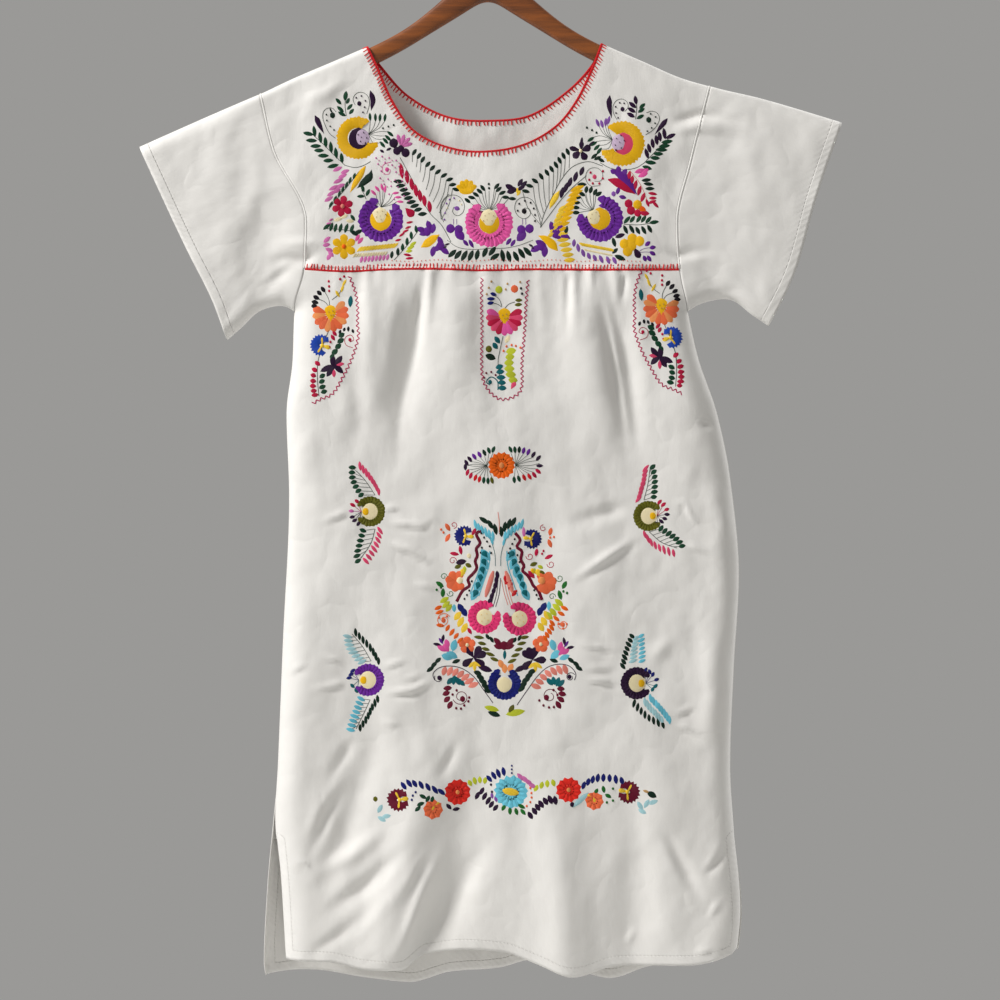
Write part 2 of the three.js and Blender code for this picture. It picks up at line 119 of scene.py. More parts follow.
class Finish:
    """A material's node graph round one Principled shader."""

    def __init__(self, name, **sockets):
        self.material = bpy.data.materials.new(name)
        self.material.use_nodes = True
        self.tree = self.material.node_tree
        self.shader = self.tree.nodes["Principled BSDF"]
        self.set(self.shader, {key.replace("_", " "): value for key, value in sockets.items()})

    def set(self, node, sockets):
        for key, value in sockets.items():
            if isinstance(value, Value):
                self.tree.links.new(value.socket, node.inputs[key])
            else:
                node.inputs[key].default_value = value

    def node(self, kind, settings, sockets):
        """A node of this type, with its settings made first, then the values or links of its sockets."""
        made = self.tree.nodes.new("ShaderNode" + kind)
        for key, value in settings.items():
            if key == "stops":
                for element, (place, shade) in zip(made.color_ramp.elements, value, strict=True):
                    element.position = place
                    element.color = shade
            else:
                setattr(made, key, value)
        self.set(made, sockets)
        return made

    def value(self, node, output=0):
        return Value(self, node.outputs[output])

    def maths(self, operation, *values):
        sockets = dict(enumerate(values))
        return self.value(self.node("Math", {"operation": operation}, sockets))

    def clamp(self, value):
        return self.value(self.node("Clamp", {}, {"Value": value}))

    def place(self, name):
        """The piece's own coordinates or one of its attributes, as a vector."""
        if name == "Object":
            return self.value(self.node("TexCoord", {}, {}), "Object")
        return self.value(self.node("Attribute", {"attribute_name": name}, {}), "Vector")

    def share(self, name):
        """One of the piece's attributes, as a number."""
        return self.value(self.node("Attribute", {"attribute_name": name}, {}), "Fac")

    def colour(self, name):
        return self.value(self.node("Attribute", {"attribute_name": name}, {}), "Color")

    def parts(self, vector):
        apart = self.node("SeparateXYZ", {}, {"Vector": vector})
        return [self.value(apart, axis) for axis in "XYZ"]

    def vector(self, x, y, z):
        return self.value(self.node("CombineXYZ", {}, {"X": x, "Y": y, "Z": z}))

    def turned(self, vector, degrees, scale=(1, 1, 1)):
        sockets = {"Vector": vector, "Rotation": [math.radians(d) for d in degrees], "Scale": scale}
        return self.value(self.node("Mapping", {}, sockets))

    def noise(self, vector, scale, detail=2.0, roughness=0.5):
        sockets = {"Vector": vector, "Scale": scale, "Detail": detail, "Roughness": roughness}
        return self.value(self.node("TexNoise", {}, sockets), "Fac")

    def mix(self, share, first, second, blend="MIX"):
        made = self.node("Mix", {"data_type": "RGBA", "blend_type": blend}, {})
        for index, value in ((0, share), (6, first), (7, second)):
            if isinstance(value, Value):
                self.tree.links.new(value.socket, made.inputs[index])
            else:
                made.inputs[index].default_value = value
        return self.value(made, 2)

    def bump(self, height, distance, strength=1.0):
        sockets = {"Height": height, "Distance": distance, "Strength": strength}
        normal = self.value(self.node("Bump", {}, sockets))
        self.set(self.shader, {"Normal": normal})


def tint(red, green, blue):
    """A colour given as 0 to 255 steps of screen brightness."""
    steps = np.array([red, green, blue]) / 255
    light = np.where(steps <= 0.04045, steps / 12.92, ((steps + 0.055) / 1.055) ** 2.4)
    return (*light.tolist(), 1.0)


def cotton_finish():
    """Plain-woven white cotton, a little uneven, with stitches along its hems and painted shade in their
    groove.
    """
    weave_pitch = 0.55 * MM
    hem_stitch = 11 * MM
    finish = Finish("white_cotton", Roughness=0.88, Sheen_Weight=0.25, Sheen_Roughness=0.5)
    place = finish.place("weave")
    across, along, _ = finish.parts(place)
    warp = finish.maths("SINE", across * (2 * math.pi / weave_pitch))
    weft = finish.maths("SINE", along * (2 * math.pi / weave_pitch))
    slub = finish.noise(finish.turned(place, (0, 0, 0), (900, 60, 1)), 1.0, 2.0)
    cloudy = finish.noise(place, 9.0, 3.0)
    rumple = finish.noise(finish.turned(place, (0, 0, 12), (34, 15, 1)), 1.0, 4.0, 0.5)
    shade = finish.clamp(0.35 + 0.5 * (cloudy - 0.5) + 0.3 * (slub - 0.5) + 0.03 * warp * weft)
    base = finish.mix(shade, tint(243, 241, 237), tint(231, 228, 223))
    crumple = finish.maths("ABSOLUTE", finish.noise(place, 8.5, 3.0, 0.55) - 0.5)
    edge = finish.share("edge")
    stitch_line = finish.maths("ABSOLUTE", edge - hem_stitch)
    stitched = finish.clamp(1.0 - stitch_line / (0.9 * MM))
    dashes = finish.maths("SINE", (across + along) * (2 * math.pi / (4.2 * MM)))
    sewn = stitched * finish.clamp(0.6 + dashes)
    # The hem's stitch line is painted darker: its stitches, with painted shade in the groove they sink into
    # the cloth.
    shaded = finish.mix(sewn * 0.16, base, tint(196, 190, 178))
    finish.set(finish.shader, {"Base Color": shaded})
    turned_hem = finish.clamp((hem_stitch - edge) / (1.0 * MM))
    pucker = finish.maths("SINE", (across + along) * (2 * math.pi / (7.5 * MM)))
    near_hem = finish.clamp(1.0 - edge / (2.2 * hem_stitch))
    relief = 0.02 * warp * weft + 1.1 * (rumple - 0.5) + 0.08 * slub + 6.5 * crumple
    relief = relief + 0.35 * turned_hem - 0.45 * sewn + 0.1 * pucker * near_hem
    finish.bump(relief, 1.1 * MM, 0.9)
    return finish.material


COTTON = cotton_finish()


def varnished_wood():
    """Golden-brown wood under a clear gloss, its grain along the arms."""
    arm_slope = 32
    finish = Finish("varnished_wood", Roughness=0.42, Coat_Weight=0.35, Coat_Roughness=0.14)
    x, y, z = finish.parts(finish.place("Object"))
    folded = finish.vector(finish.maths("ABSOLUTE", x), y, z)
    grain_place = finish.turned(folded, (0, -arm_slope, 0), (9, 160, 160))
    streaks = finish.noise(grain_place, 1.0, 5.0, 0.62)
    pores = finish.noise(finish.turned(folded, (0, -arm_slope, 0), (60, 900, 900)), 1.0, 2.0)
    broad = finish.noise(finish.turned(folded, (0, -arm_slope, 0), (4, 30, 30)), 1.0, 2.0)
    base = finish.mix(finish.clamp(2.4 * (streaks - 0.32)), tint(84, 40, 8), tint(156, 82, 20))
    base = finish.mix(finish.clamp(1.6 * (broad - 0.3)) * 0.5, base, tint(176, 100, 34))
    base = finish.mix(finish.clamp(4.0 * (0.36 - pores)) * 0.6, base, tint(70, 30, 12))
    finish.set(finish.shader, {"Base Color": base, "Roughness": 0.36 + 0.2 * pores})
    finish.bump(0.7 * streaks + 0.3 * pores, 0.25 * MM, 0.35)
    return finish.material


def plated_steel():
    """Bright plated wire with faint drawing marks."""
    finish = Finish("plated_steel", Metallic=1.0)
    place = finish.place("Object")
    marks = finish.noise(place, 900.0, 2.0)
    smudge = finish.noise(place, 70.0, 3.0)
    base = finish.mix(finish.clamp(smudge), tint(205, 206, 208), tint(176, 178, 182))
    finish.set(finish.shader, {"Base Color": base, "Roughness": 0.18 + 0.22 * smudge})
    finish.bump(marks, 0.05 * MM, 0.4)
    return finish.material


# ---- Smooth curves ----
def smooth_curve(rows, key=0, value=1):
    """A smooth curve of one column against another that never overshoots its rows."""
    keys, values = (np.array([row[i] for row in rows], float) for i in (key, value))
    slopes = np.diff(values) / np.diff(keys)
    before, after = slopes[:-1], slopes[1:]
    agree = before * after > 0
    middle = np.where(agree, 2 * before * after / np.where(agree, before + after, 1), 0)
    tangents = np.concatenate([slopes[:1], middle, slopes[-1:]])

    def at(where):
        where = np.clip(where, keys[0], keys[-1])
        i = np.clip(np.searchsorted(keys, where, side="right") - 1, 0, len(keys) - 2)
        span = keys[i + 1] - keys[i]
        t = (where - keys[i]) / span
        bend = tangents[i] * t * (1 - t) ** 2 + tangents[i + 1] * t * t * (t - 1)
        return values[i] + (values[i + 1] - values[i]) * t * t * (3 - 2 * t) + span * bend

    return at


def outline(rows, steps=24):
    """A smooth dense line through rows of two numbers."""
    p = np.array(rows, float)
    p = np.vstack([2 * p[0] - p[1], p, 2 * p[-1] - p[-2]])
    line = []
    for a, b, c, d in zip(p[:-3], p[1:-2], p[2:-1], p[3:]):
        knots = np.cumsum([0, *(np.linalg.norm(q) ** 0.5 for q in (b - a, c - b, d - c))])
        t0, t1, t2, t3 = knots
        t = np.linspace(t1, t2, steps, endpoint=False)[:, None]
        first = ((t1 - t) * a + (t - t0) * b) / (t1 - t0)
        second = ((t2 - t) * b + (t - t1) * c) / (t2 - t1)
        third = ((t3 - t) * c + (t - t2) * d) / (t3 - t2)
        low = ((t2 - t) * first + (t - t0) * second) / (t2 - t0)
        high = ((t3 - t) * second + (t - t1) * third) / (t3 - t1)
        line.append(((t2 - t) * low + (t - t1) * high) / (t2 - t1))
    return np.vstack([*line, p[-2:-1]])


def length_of(line):
    return np.linalg.norm(np.diff(line, axis=0), axis=1).sum()


def along_line(line, shares):
    """Places at these shares of a line's length."""
    steps = np.linalg.norm(np.diff(line, axis=0), axis=1)
    reach = np.concatenate([[0], np.cumsum(steps)]) / steps.sum()
    return np.stack([np.interp(shares, reach, column) for column in np.array(line).T], axis=-1)


def smooth_step(value):
    t = np.clip(value, 0, 1)
    return t * t * (3 - 2 * t)


def quarter_round(value):
    return np.sqrt(1 - (1 - np.clip(value, 0, 1)) ** 2)


# ---- The dress's own sizes ----
CLOTH = 0.7  # thickness of the cotton
SEAM_GAP = 0.5
SHOULDER_ROLL = 8
SIDE_ROLL = 30
YOKE_SEAM = -410
ARMPIT = -458
SLIT_TOP = -1066
SLIT_SPREAD = 3
CALM_SHOULDER = 30  # folds grow to their full height over this much cloth below the shoulder
HEM = -1205
HEM_REACH = 260

TOP_EDGE = [
    (-400, -269),
    (-317, -232),
    (-261, -208),
    (-225, -191),
    (-176, -170),
    (-139, -154),
    (-100, -137),
    (100, -137),
    (131, -150.5),
    (176, -170),
    (225, -191),
    (269, -203),
    (316, -214),
    (406, -241),
]

# Height, then the edge's place on the front and on the back.
RIGHT_EDGE = [
    (-1222, -231, -252),
    (-1190, -233, -258),
    (-1110, -238, -254),
    (-1040, -244, -247),
    (-980, -241, -241),
    (-834, -235, -235),
    (-672, -228, -228),
    (-576, -231, -231),
    (-514, -224, -224),
    (-458, -222, -222),
    (-410, -210, -210),
    (-356, -208, -208),
    (-272, -246, -246),
    (-208, -261, -261),
]
LEFT_EDGE = [
    (-1222, 284, 286),
    (-1164, 290, 292),
    (-1053, 282, 282),
    (-980, 278, 278),
    (-870, 282, 282),
    (-760, 288, 288),
    (-650, 278, 278),
    (-576, 263, 263),
    (-511, 241, 241),
    (-458, 229, 229),
    (-410, 219, 219),
    (-358, 216, 216),
    (-286, 232, 232),
    (-199, 254, 254),
]

NECK_SHOULDERS = (-139, 131)
FRONT_NECK = [
    (-127, -179),
    (-109, -219),
    (-84, -252),
    (-42, -271),
    (0, -275),
    (44, -266),
    (80, -244),
    (102, -216),
    (120, -179),
]
BACK_NECK = [
    (-124, -175),
    (-93, -208),
    (-45, -233),
    (2, -237),
    (48, -231),
    (92, -203),
    (120, -174),
]

# Height, then how far the front and the back stand out beyond the shoulder roll.
SWELL = [
    (-1226, 19, 13),
    (-900, 17, 11),
    (-600, 13, 8),
    (-410, 7, 4),
    (-280, 3, 2),
    (-150, 0, 0),
]

FRONT_HEM = [
    (-236, -1200),
    (-182, -1201),
    (-136, -1210),
    (-101, -1211),
    (-70, -1192),
    (-22, -1187),
    (17, -1190),
    (58, -1204),
    (97, -1217),
    (148, -1206),
    (229, -1205),
    (278, -1194),
    (290, -1184),
]
BACK_HEM = [
    (-258, -1222),
    (-215, -1219),
    (-136, -1229),
    (-90, -1234),
    (-41, -1220),
    (11, -1217),
    (50, -1208),
    (100, -1219),
    (141, -1230),
    (184, -1216),
    (259, -1204),
    (292, -1190),
]

# ---- Folds ----
# Each fold runs through squares of the chart: its line, half width, rise (a trough's is negative),
# lean (1 is a step that falls to the right of the line, 0 a plain ridge) and where it is highest.
FRONT_FOLDS = [
    # the main soft folds of the skirt
    ([(384, 274), (366, 470)], 30, 4.0, 0, 0.25),
    ([(417, 287), (394, 487)], 23, -5.0, 0, 0.3),
    ([(462, 274), (453, 435)], 31, 4.0, 0, 0.2),
    ([(575, 274), (610, 470)], 30, 5.0, 0, 0.3),
    ([(611, 287), (638, 487)], 21, -5.0, 0, 0.35),
    ([(440, 722), (371, 991)], 33, 8.0, 0, 0.7),
    ([(488, 696), (436, 991)], 37, -7.0, 0, 0.7),
    ([(392, 696), (314, 922)], 21, -5.0, 0, 0.6),
    ([(549, 696), (571, 1017)], 40, 8.0, 0, 0.75),
    ([(631, 722), (636, 1009)], 31, -5.0, 0, 0.6),
    # pleats under the yoke seam
    ([(421, 273), (418, 302), (413, 345), (400, 402), (397, 440), (392, 492)], 8, -2.6, 0.3, 0.2),
    ([(431, 273), (429, 310), (424, 360)], 7, 2.2, 0, 0.1),
    ([(567, 272), (566, 300), (565, 345)], 6, -2.0, 0.4, 0.15),
    ([(575, 272), (574, 305), (574, 350)], 8, 2.0, 0, 0.1),
    ([(599, 285), (607, 320), (614, 356), (620, 392), (627, 440), (630, 467)], 9, 3.6, 0.6, 0.45),
    ([(622, 282), (618, 312)], 6, -2.0, 0.3, 0.1),
    ([(590, 272), (592, 300)], 5, 1.6, 0, 0.1),
    ([(368, 272), (370, 330), (364, 400)], 12, 2.2, 0, 0.2),
    ([(357, 360), (360, 420), (352, 470)], 16, -2.0, 0, 0.4),
    ([(305, 450), (304, 620)], 20, -2.0, 0, 0.5),
    ([(697, 424), (718, 431)], 7, -2.0, 0.3, 0.3),
    # drag lines by the upper flowers
    ([(384, 510), (406, 508)], 5, 1.6, 0.5, 0.3),
    ([(384, 524), (408, 526), (424, 528), (432, 520), (441, 523)], 6, 2.0, 0.6, 0.4),
    ([(384, 542), (410, 552), (428, 563), (440, 553)], 7, 2.4, 0.6, 0.4),
    ([(318, 526), (352, 512)], 6, 1.7, 0.5, 0.7),
    ([(412, 584), (438, 590)], 6, 1.5, 0.5, 0.5),
    ([(632, 503), (595, 513), (558, 526)], 13, -3.0, 0.3, 0.35),
    ([(642, 536), (598, 565), (566, 586)], 8, 3.0, -0.6, 0.45),
    ([(668, 506), (682, 504), (688, 517), (695, 524), (702, 520)], 5, 1.8, 0.6, 0.5),
    ([(684, 545), (712, 557)], 6, 1.8, 0.5, 0.3),
    ([(700, 470), (724, 520), (716, 580)], 18, 2.5, 0, 0.5),
    # drag lines by the lower flowers
    ([(288, 676), (309, 662)], 6, 1.7, 0.6, 0.6),
    ([(320, 655), (345, 663)], 5, 1.5, 0.6, 0.6),
    ([(310, 690), (349, 683)], 6, 1.8, 0.5, 0.7),
    ([(384, 667), (415, 658)], 5, 1.6, 0.5, 0.3),
    ([(383, 693), (413, 691), (438, 680)], 6, 2.6, 0.7, 0.45),
    ([(402, 679), (428, 674)], 4, 1.4, 0.6, 0.5),
    ([(380, 720), (406, 727)], 5, 1.5, 0.5, 0.4),
    ([(355, 732), (338, 762), (322, 792)], 10, -2.2, 0.3, 0.3),
    ([(458, 735), (435, 783)], 10, -2.2, 0.4, 0.4),
    ([(574, 643), (620, 652)], 5, 1.7, 0.6, 0.5),
    ([(579, 668), (620, 667)], 5, 1.6, 0.5, 0.5),
    ([(583, 679), (620, 684)], 5, 2.3, 0.7, 0.5),
    ([(673, 715), (696, 705)], 5, 1.7, 0.6, 0.4),
    ([(674, 722), (709, 740)], 6, 2.0, 0.6, 0.3),
    ([(646, 664), (676, 636)], 12, 1.8, 0.3, 0.5),
    ([(700, 590), (708, 690), (695, 760)], 20, 2.2, 0.2, 0.5),
    # the folds above the hem
    ([(352, 770), (326, 812), (306, 862)], 12, -3.6, 0.4, 0.5),
    ([(298, 866), (306, 862), (311, 870)], 4, 1.4, 0.6, 0.6),
    ([(396, 812), (352, 848), (304, 884)], 14, 4.0, 0.3, 0.5),
    ([(422, 826), (362, 880), (302, 932)], 14, -4.2, 0.3, 0.45),
    ([(446, 832), (396, 884), (342, 946)], 12, 2.8, 0.3, 0.5),
    ([(372, 900), (336, 934), (298, 962)], 10, -2.2, 0.3, 0.5),
    ([(452, 828), (418, 898), (379, 972)], 17, 6.5, 0.3, 0.6),
    ([(500, 822), (455, 895), (407, 976)], 19, -7.0, 0.2, 0.6),
    ([(556, 822), (566, 985)], 15, 4.5, 0, 0.7),
    ([(655, 818), (680, 865), (706, 917)], 11, -3.4, 0.3, 0.4),
    ([(728, 836), (716, 858), (698, 877)], 8, -2.6, 0.5, 0.5),
    ([(718, 896), (704, 918)], 5, 1.6, 0.5, 0.5),
    ([(633, 920), (624, 942)], 6, 1.6, 0.5, 0.5),
    ([(689, 947), (714, 951)], 4, 1.4, 0.4, 0.5),
    # across the yoke and shoulders
    ([(668, 126), (704, 117), (742, 104)], 8, -3.0, 0.5, 0.35),
    ([(666, 136), (706, 128), (748, 112)], 9, 2.4, 0.3, 0.35),
    ([(660, 250), (684, 262), (718, 286)], 9, -3.2, 0.4, 0.35),
    ([(324, 250), (296, 264), (256, 292)], 9, -3.6, 0.4, 0.4),
    ([(330, 240), (296, 246), (262, 258)], 9, 2.0, 0.2, 0.4),
    ([(700, 290), (730, 300), (762, 312)], 8, 2.0, 0.5, 0.4),
    ([(690, 308), (720, 296), (748, 292)], 8, -1.8, 0.4, 0.4),
    ([(262, 130), (256, 190), (236, 250)], 16, 1.6, 0.2, 0.5),
    ([(300, 108), (330, 96), (352, 78)], 12, 1.4, 0.3, 0.5),
]
BACK_FOLDS = [
    ([(392, 274), (375, 539)], 31, 4.0, 0, 0.25),
    ([(436, 278), (423, 522)], 26, -4.0, 0, 0.3),
    ([(540, 274), (562, 557)], 33, 4.0, 0, 0.25),
    ([(592, 287), (610, 504)], 24, -4.0, 0, 0.3),
    ([(384, 626), (401, 1017)], 38, 6.0, 0, 0.7),
    ([(462, 661), (449, 1017)], 35, -5.0, 0, 0.7),
    ([(584, 643), (610, 1017)], 40, 6.0, 0, 0.7),
    ([(531, 678), (527, 1009)], 30, -4.0, 0, 0.6),
    ([(405, 273), (402, 310), (398, 380)], 8, -2.4, 0.3, 0.15),
    ([(468, 273), (470, 320), (474, 410)], 9, 2.4, 0.3, 0.15),
    ([(505, 273), (507, 300), (512, 352)], 7, -2.0, 0.3, 0.15),
    ([(560, 273), (566, 330), (578, 420)], 9, 2.8, 0.5, 0.2),
    ([(628, 273), (630, 330), (640, 400)], 11, -2.2, 0.2, 0.2),
    ([(350, 273), (348, 350), (340, 430)], 12, 2.2, 0.2, 0.2),
    ([(330, 470), (372, 520), (420, 545)], 10, 2.2, 0.5, 0.5),
    ([(660, 500), (612, 548), (566, 566)], 11, 2.4, -0.5, 0.5),
    ([(300, 610), (350, 640), (392, 652)], 9, -2.0, 0.5, 0.5),
    ([(690, 640), (640, 690), (604, 742)], 12, 2.4, 0.3, 0.5),
    ([(420, 800), (380, 850), (322, 900)], 14, 3.0, 0.4, 0.5),
    ([(520, 840), (492, 900), (470, 985)], 14, -3.2, 0.3, 0.7),
    ([(650, 800), (668, 880), (676, 960)], 14, 3.0, 0.3, 0.6),
    ([(330, 240), (296, 246), (262, 258)], 10, 2.0, 0.3, 0.4),
    ([(655, 250), (672, 256), (700, 268)], 10, -2.0, 0.4, 0.4),
    ([(668, 128), (706, 118), (742, 104)], 8, 2.0, 0.4, 0.4),
]


def off_chart(column, row):
    """A chart square as a place across the dress and a height."""
    return (column - CHART_MIDDLE) * CHART_SQUARE, CHART_TOP - row * CHART_SQUARE


FOLD_DEPTH = 1.7  # every rise in the tables is multiplied by this
DEEPEST_FOLD = 14.0
BELL_WIDTH = 0.62  # the round part of a fold, as a share of its half width
STEP_RISE = 2.2  # brings a leaning fold's step to nearly the height of a plain ridge
END_FADE = 0.2  # how fast a fold melts away from its line
OPEN_START = 0.12  # a fold that is highest this near its start runs out of a seam


def fold_height(fold, x, z):
    squares, width, rise, lean, peak = fold
    line = np.array([off_chart(*square) for square in squares])
    lengths = np.linalg.norm(np.diff(line, axis=0), axis=1)
    starts = np.concatenate([[0], np.cumsum(lengths)])
    nearest = np.full(x.shape, 1e9)
    side = np.zeros(x.shape)
    share = np.zeros(x.shape)
    for start, end, length, before in zip(line[:-1], line[1:], lengths, starts):
        unit = (end - start) / length
        ahead = (x - start[0]) * unit[0] + (z - start[1]) * unit[1]
        t = np.clip(ahead, 0, length)
        away = np.hypot(x - start[0] - unit[0] * t, z - start[1] - unit[1] * t)
        cross = (x - start[0]) * unit[1] - (z - start[1]) * unit[0]
        closer = away < nearest
        nearest = np.where(closer, away, nearest)
        side = np.where(closer, np.sign(cross) * away, side)
        share = np.where(closer, (before + t) / starts[-1], share)
    u = side / (width * CHART_SQUARE * BELL_WIDTH)
    bell = np.exp(-u * u)
    profile = (1 - abs(lean)) * bell - lean * STEP_RISE * u * bell
    rising = smooth_step(share / max(peak, 0.01))
    falling = smooth_step((1 - share) / (1 - peak))
    beyond = np.exp(-((nearest / (width * CHART_SQUARE)) ** 2) * END_FADE)
    fade = np.where(share < peak, rising if peak > OPEN_START else 1, falling)
    return rise * FOLD_DEPTH * profile * fade * beyond


# The cloth's own waves: the shortest and longest, how deep they are and how many.
RUMPLES = [(90, 240, 1.0, 14), (34, 80, 0.3, 22), (16, 32, 0.07, 26)]
RUMPLE_HEIGHT = 1.6
GATHERS_ACROSS = (-170.0, 180.0)  # where the small pleats under the yoke seam begin and end


def rumples(seed, x, z):
    """The cloth's own unevenness: long soft waves and short shallow ones, mostly up and down."""
    draw = np.random.default_rng(seed)
    height = np.zeros(x.shape)
    for shortest, longest, deep, count in RUMPLES:
        for _ in range(count):
            wave = draw.uniform(shortest, longest)
            heading = draw.normal(0, 0.5)
            phase = draw.uniform(0, 2 * np.pi)
            turn = (x * np.cos(heading) + z * np.sin(heading)) * 2 * np.pi / wave + phase
            height += np.sin(turn) * deep / math.sqrt(count) * RUMPLE_HEIGHT
    return height


def gathers(seed, x, z):
    """Small pleats that start at the yoke seam and melt into the skirt."""
    outwards = 0.0006  # a pleat leans outwards by this much of its place across
    widening = 160  # it is twice as wide this far below the seam
    melting = 1.4
    draw = np.random.default_rng(seed)
    below = YOKE_SEAM - z
    height = np.zeros(x.shape)
    place, last = GATHERS_ACROSS
    while place < last:
        width = draw.uniform(5, 10)
        reach = draw.uniform(50, 170)
        rise = draw.uniform(1.2, 3.2)
        drift = draw.uniform(-0.08, 0.08) + place * outwards
        u = (x - place - drift * below) / (width * (1 + below / widening))
        fade = np.where(
            (below >= -1) & (below < reach), (1 - np.clip(below / reach, 0, 1)) ** melting, 0,
        )
        height += rise * np.exp(-u * u) * fade
        place += draw.uniform(9, 22)
    return height


class Face:
    """The front or the back of the dress's body: how far its skin stands from the middle plane."""

    def __init__(self, sign, column, folds, hem, neck, seed):
        self.sign = sign
        self.folds = folds
        self.seed = seed
        self.neck = neck
        self.hem = smooth_curve(hem)
        self.swell = smooth_curve(SWELL, 0, column)
        self.right = smooth_curve(RIGHT_EDGE, 0, column)
        self.left = smooth_curve(LEFT_EDGE, 0, column)

    def relief(self, x, z):
        height = rumples(self.seed, x, z)
        height = height + gathers(self.seed + 1, x, z)
        for fold in self.folds:
            height = height + fold_height(fold, x, z)
        return DEEPEST_FOLD * np.tanh(height / DEEPEST_FOLD)

    def side_roll(self, x, z):
        height = np.minimum(z, ARMPIT)
        near = np.minimum(
            np.maximum(x - self.right(height), 0), np.maximum(self.left(height) - x, 0)
        )
        return quarter_round(np.hypot(near, z - height) / SIDE_ROLL)

    def depth(self, x, z):
        shoulder = quarter_round((top_edge(x) - z) / SHOULDER_ROLL)
        away = np.clip((top_edge(x) - z) / CALM_SHOULDER, 0, 1)
        body = SHOULDER_ROLL + self.swell(z) + self.relief(x, z) * away
        return shoulder * self.side_roll(x, z) * body

    def hem_drop(self, x, level):
        return (self.hem(x) - HEM) * smooth_step((HEM + HEM_REACH - level) / HEM_REACH)

    def stand_off(self, level):
        below = np.clip((SLIT_TOP - level) / (SLIT_TOP - HEM), 0, 1)
        return np.where(level < YOKE_SEAM, SEAM_GAP / 2 + SLIT_SPREAD * below, 0)

    def skin(self, x, z):
        """Points on the skin at these places across and heights."""
        level = z - self.hem_drop(x, z)
        level = z - self.hem_drop(x, level)
        return np.stack([x, self.sign * (self.depth(x, level) + self.stand_off(level)), z], -1)

    def skin_and_normal(self, x, z):
        step = 0.5
        point = self.skin(x, z)
        slope_x = (self.skin(x + step, z) - self.skin(x - step, z))[..., 1] / (2 * step)
        slope_z = (self.skin(x, z + step) - self.skin(x, z - step))[..., 1] / (2 * step)
        normal = np.stack([-slope_x, np.ones_like(x), -slope_z], -1) * self.sign
        return point, normal / np.linalg.norm(normal, axis=-1, keepdims=True)


top_edge = smooth_curve(TOP_EDGE)
FRONT = Face(-1, 1, FRONT_FOLDS, FRONT_HEM, FRONT_NECK, 11)
BACK = Face(1, 2, BACK_FOLDS, BACK_HEM, BACK_NECK, 47)


# ---- Making meshes ----
def deselect_all():
    for other in bpy.context.view_layer.objects:
        other.select_set(False)


def finish_modifiers(piece):
    deselect_all()
    piece.select_set(True)
    bpy.context.view_layer.objects.active = piece
    for modifier in list(piece.modifiers):
        bpy.ops.object.modifier_apply(modifier=modifier.name)


def mesh_piece(name, points, faces, material, vectors=(), shares=(), colours=()):
    """A smooth-shaded piece from points in millimetres, with its attributes."""
    mesh = bpy.data.meshes.new(name)
    mesh.from_pydata((np.asarray(points) * MM).tolist(), [], faces)
    for key, values in vectors:
        made = mesh.attributes.new(key, "FLOAT_VECTOR", "POINT")
        made.data.foreach_set("vector", np.asarray(values, np.float32).ravel())
    for key, values in shares:
        made = mesh.attributes.new(key, "FLOAT", "POINT")
        made.data.foreach_set("value", np.asarray(values, np.float32).ravel())
    for key, values in colours:
        made = mesh.attributes.new(key, "FLOAT_COLOR", "POINT")
        made.data.foreach_set("color", np.asarray(values, np.float32).ravel())
    mesh.materials.append(material)
    mesh.shade_smooth()
    mesh.update()
    piece = bpy.data.objects.new(name, mesh)
    bpy.context.scene.collection.objects.link(piece)
    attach(piece, "root")
    return piece


def cloth_piece(name, grid, weave, edge, closed=False):
    """A sheet of cotton through a grid of points, thickened inwards. Closed rows run all round."""
    rows, columns = grid.shape[:2]
    points = grid.reshape(-1, 3)
    span = columns if closed else columns - 1
    i, j = np.meshgrid(np.arange(rows - 1), np.arange(span), indexing="ij")
    ahead = (j + 1) % columns
    corners = [
        i * columns + j, i * columns + ahead, (i + 1) * columns + ahead, (i + 1) * columns + j,
    ]
    faces = np.stack(corners, -1).reshape(-1, 4)
    vectors = [("weave", np.concatenate([weave * MM, np.zeros((*weave.shape[:2], 1))], -1))]
    piece = mesh_piece(name, points, faces.tolist(), COTTON, vectors, [("edge", edge * MM)])
    wall = piece.modifiers.new("wall", "SOLIDIFY")
    wall.thickness = CLOTH * MM
    wall.offset = -1
    finish_modifiers(piece)
    return piece


# ---- The skirt ----
SKIRT_STEP = 3.5


def hem_distance(face, x, level):
    """Distance to the nearest free edge of a skirt panel: its hem, or a slit's edge below the side seam."""
    to_hem = level - HEM
    beside = np.minimum(x - face.right(level), face.left(level) - x)
    to_slit = np.hypot(beside, np.maximum(level - SLIT_TOP, 0) * 1.6)
    return np.minimum(to_hem, to_slit)


def skirt_panel(name, face):
    side_steps = SIDE_ROLL * np.array([0, 0.01, 0.04, 0.09, 0.16, 0.25, 0.36, 0.49, 0.64, 0.81])
    usual_width = 480
    inner_count = int(usual_width / SKIRT_STEP)
    row_count = int((YOKE_SEAM - HEM) / SKIRT_STEP)
    level = np.linspace(YOKE_SEAM - SEAM_GAP / 2, HEM, row_count)[:, None]
    width = face.left(level) - face.right(level)
    inner = SIDE_ROLL + (width - 2 * SIDE_ROLL) * np.linspace(0, 1, inner_count)[None, :]
    sides = np.broadcast_to(side_steps, (row_count, len(side_steps)))
    across = np.concatenate([sides, inner, (width - sides)[:, ::-1]], axis=1)
    x = face.right(level) + across
    levels = np.broadcast_to(level, x.shape)
    depth = face.depth(x, levels) + face.stand_off(levels)
    z = levels + face.hem_drop(x, levels)
    grid = np.stack([x, face.sign * depth, z], -1)
    if face.sign > 0:
        grid, x, levels = grid[:, ::-1], x[:, ::-1], levels[:, ::-1]
    weave = np.stack([x, levels], -1)
    return cloth_piece(name, grid[:, ::-1], weave[:, ::-1], hem_distance(face, x, levels)[:, ::-1])


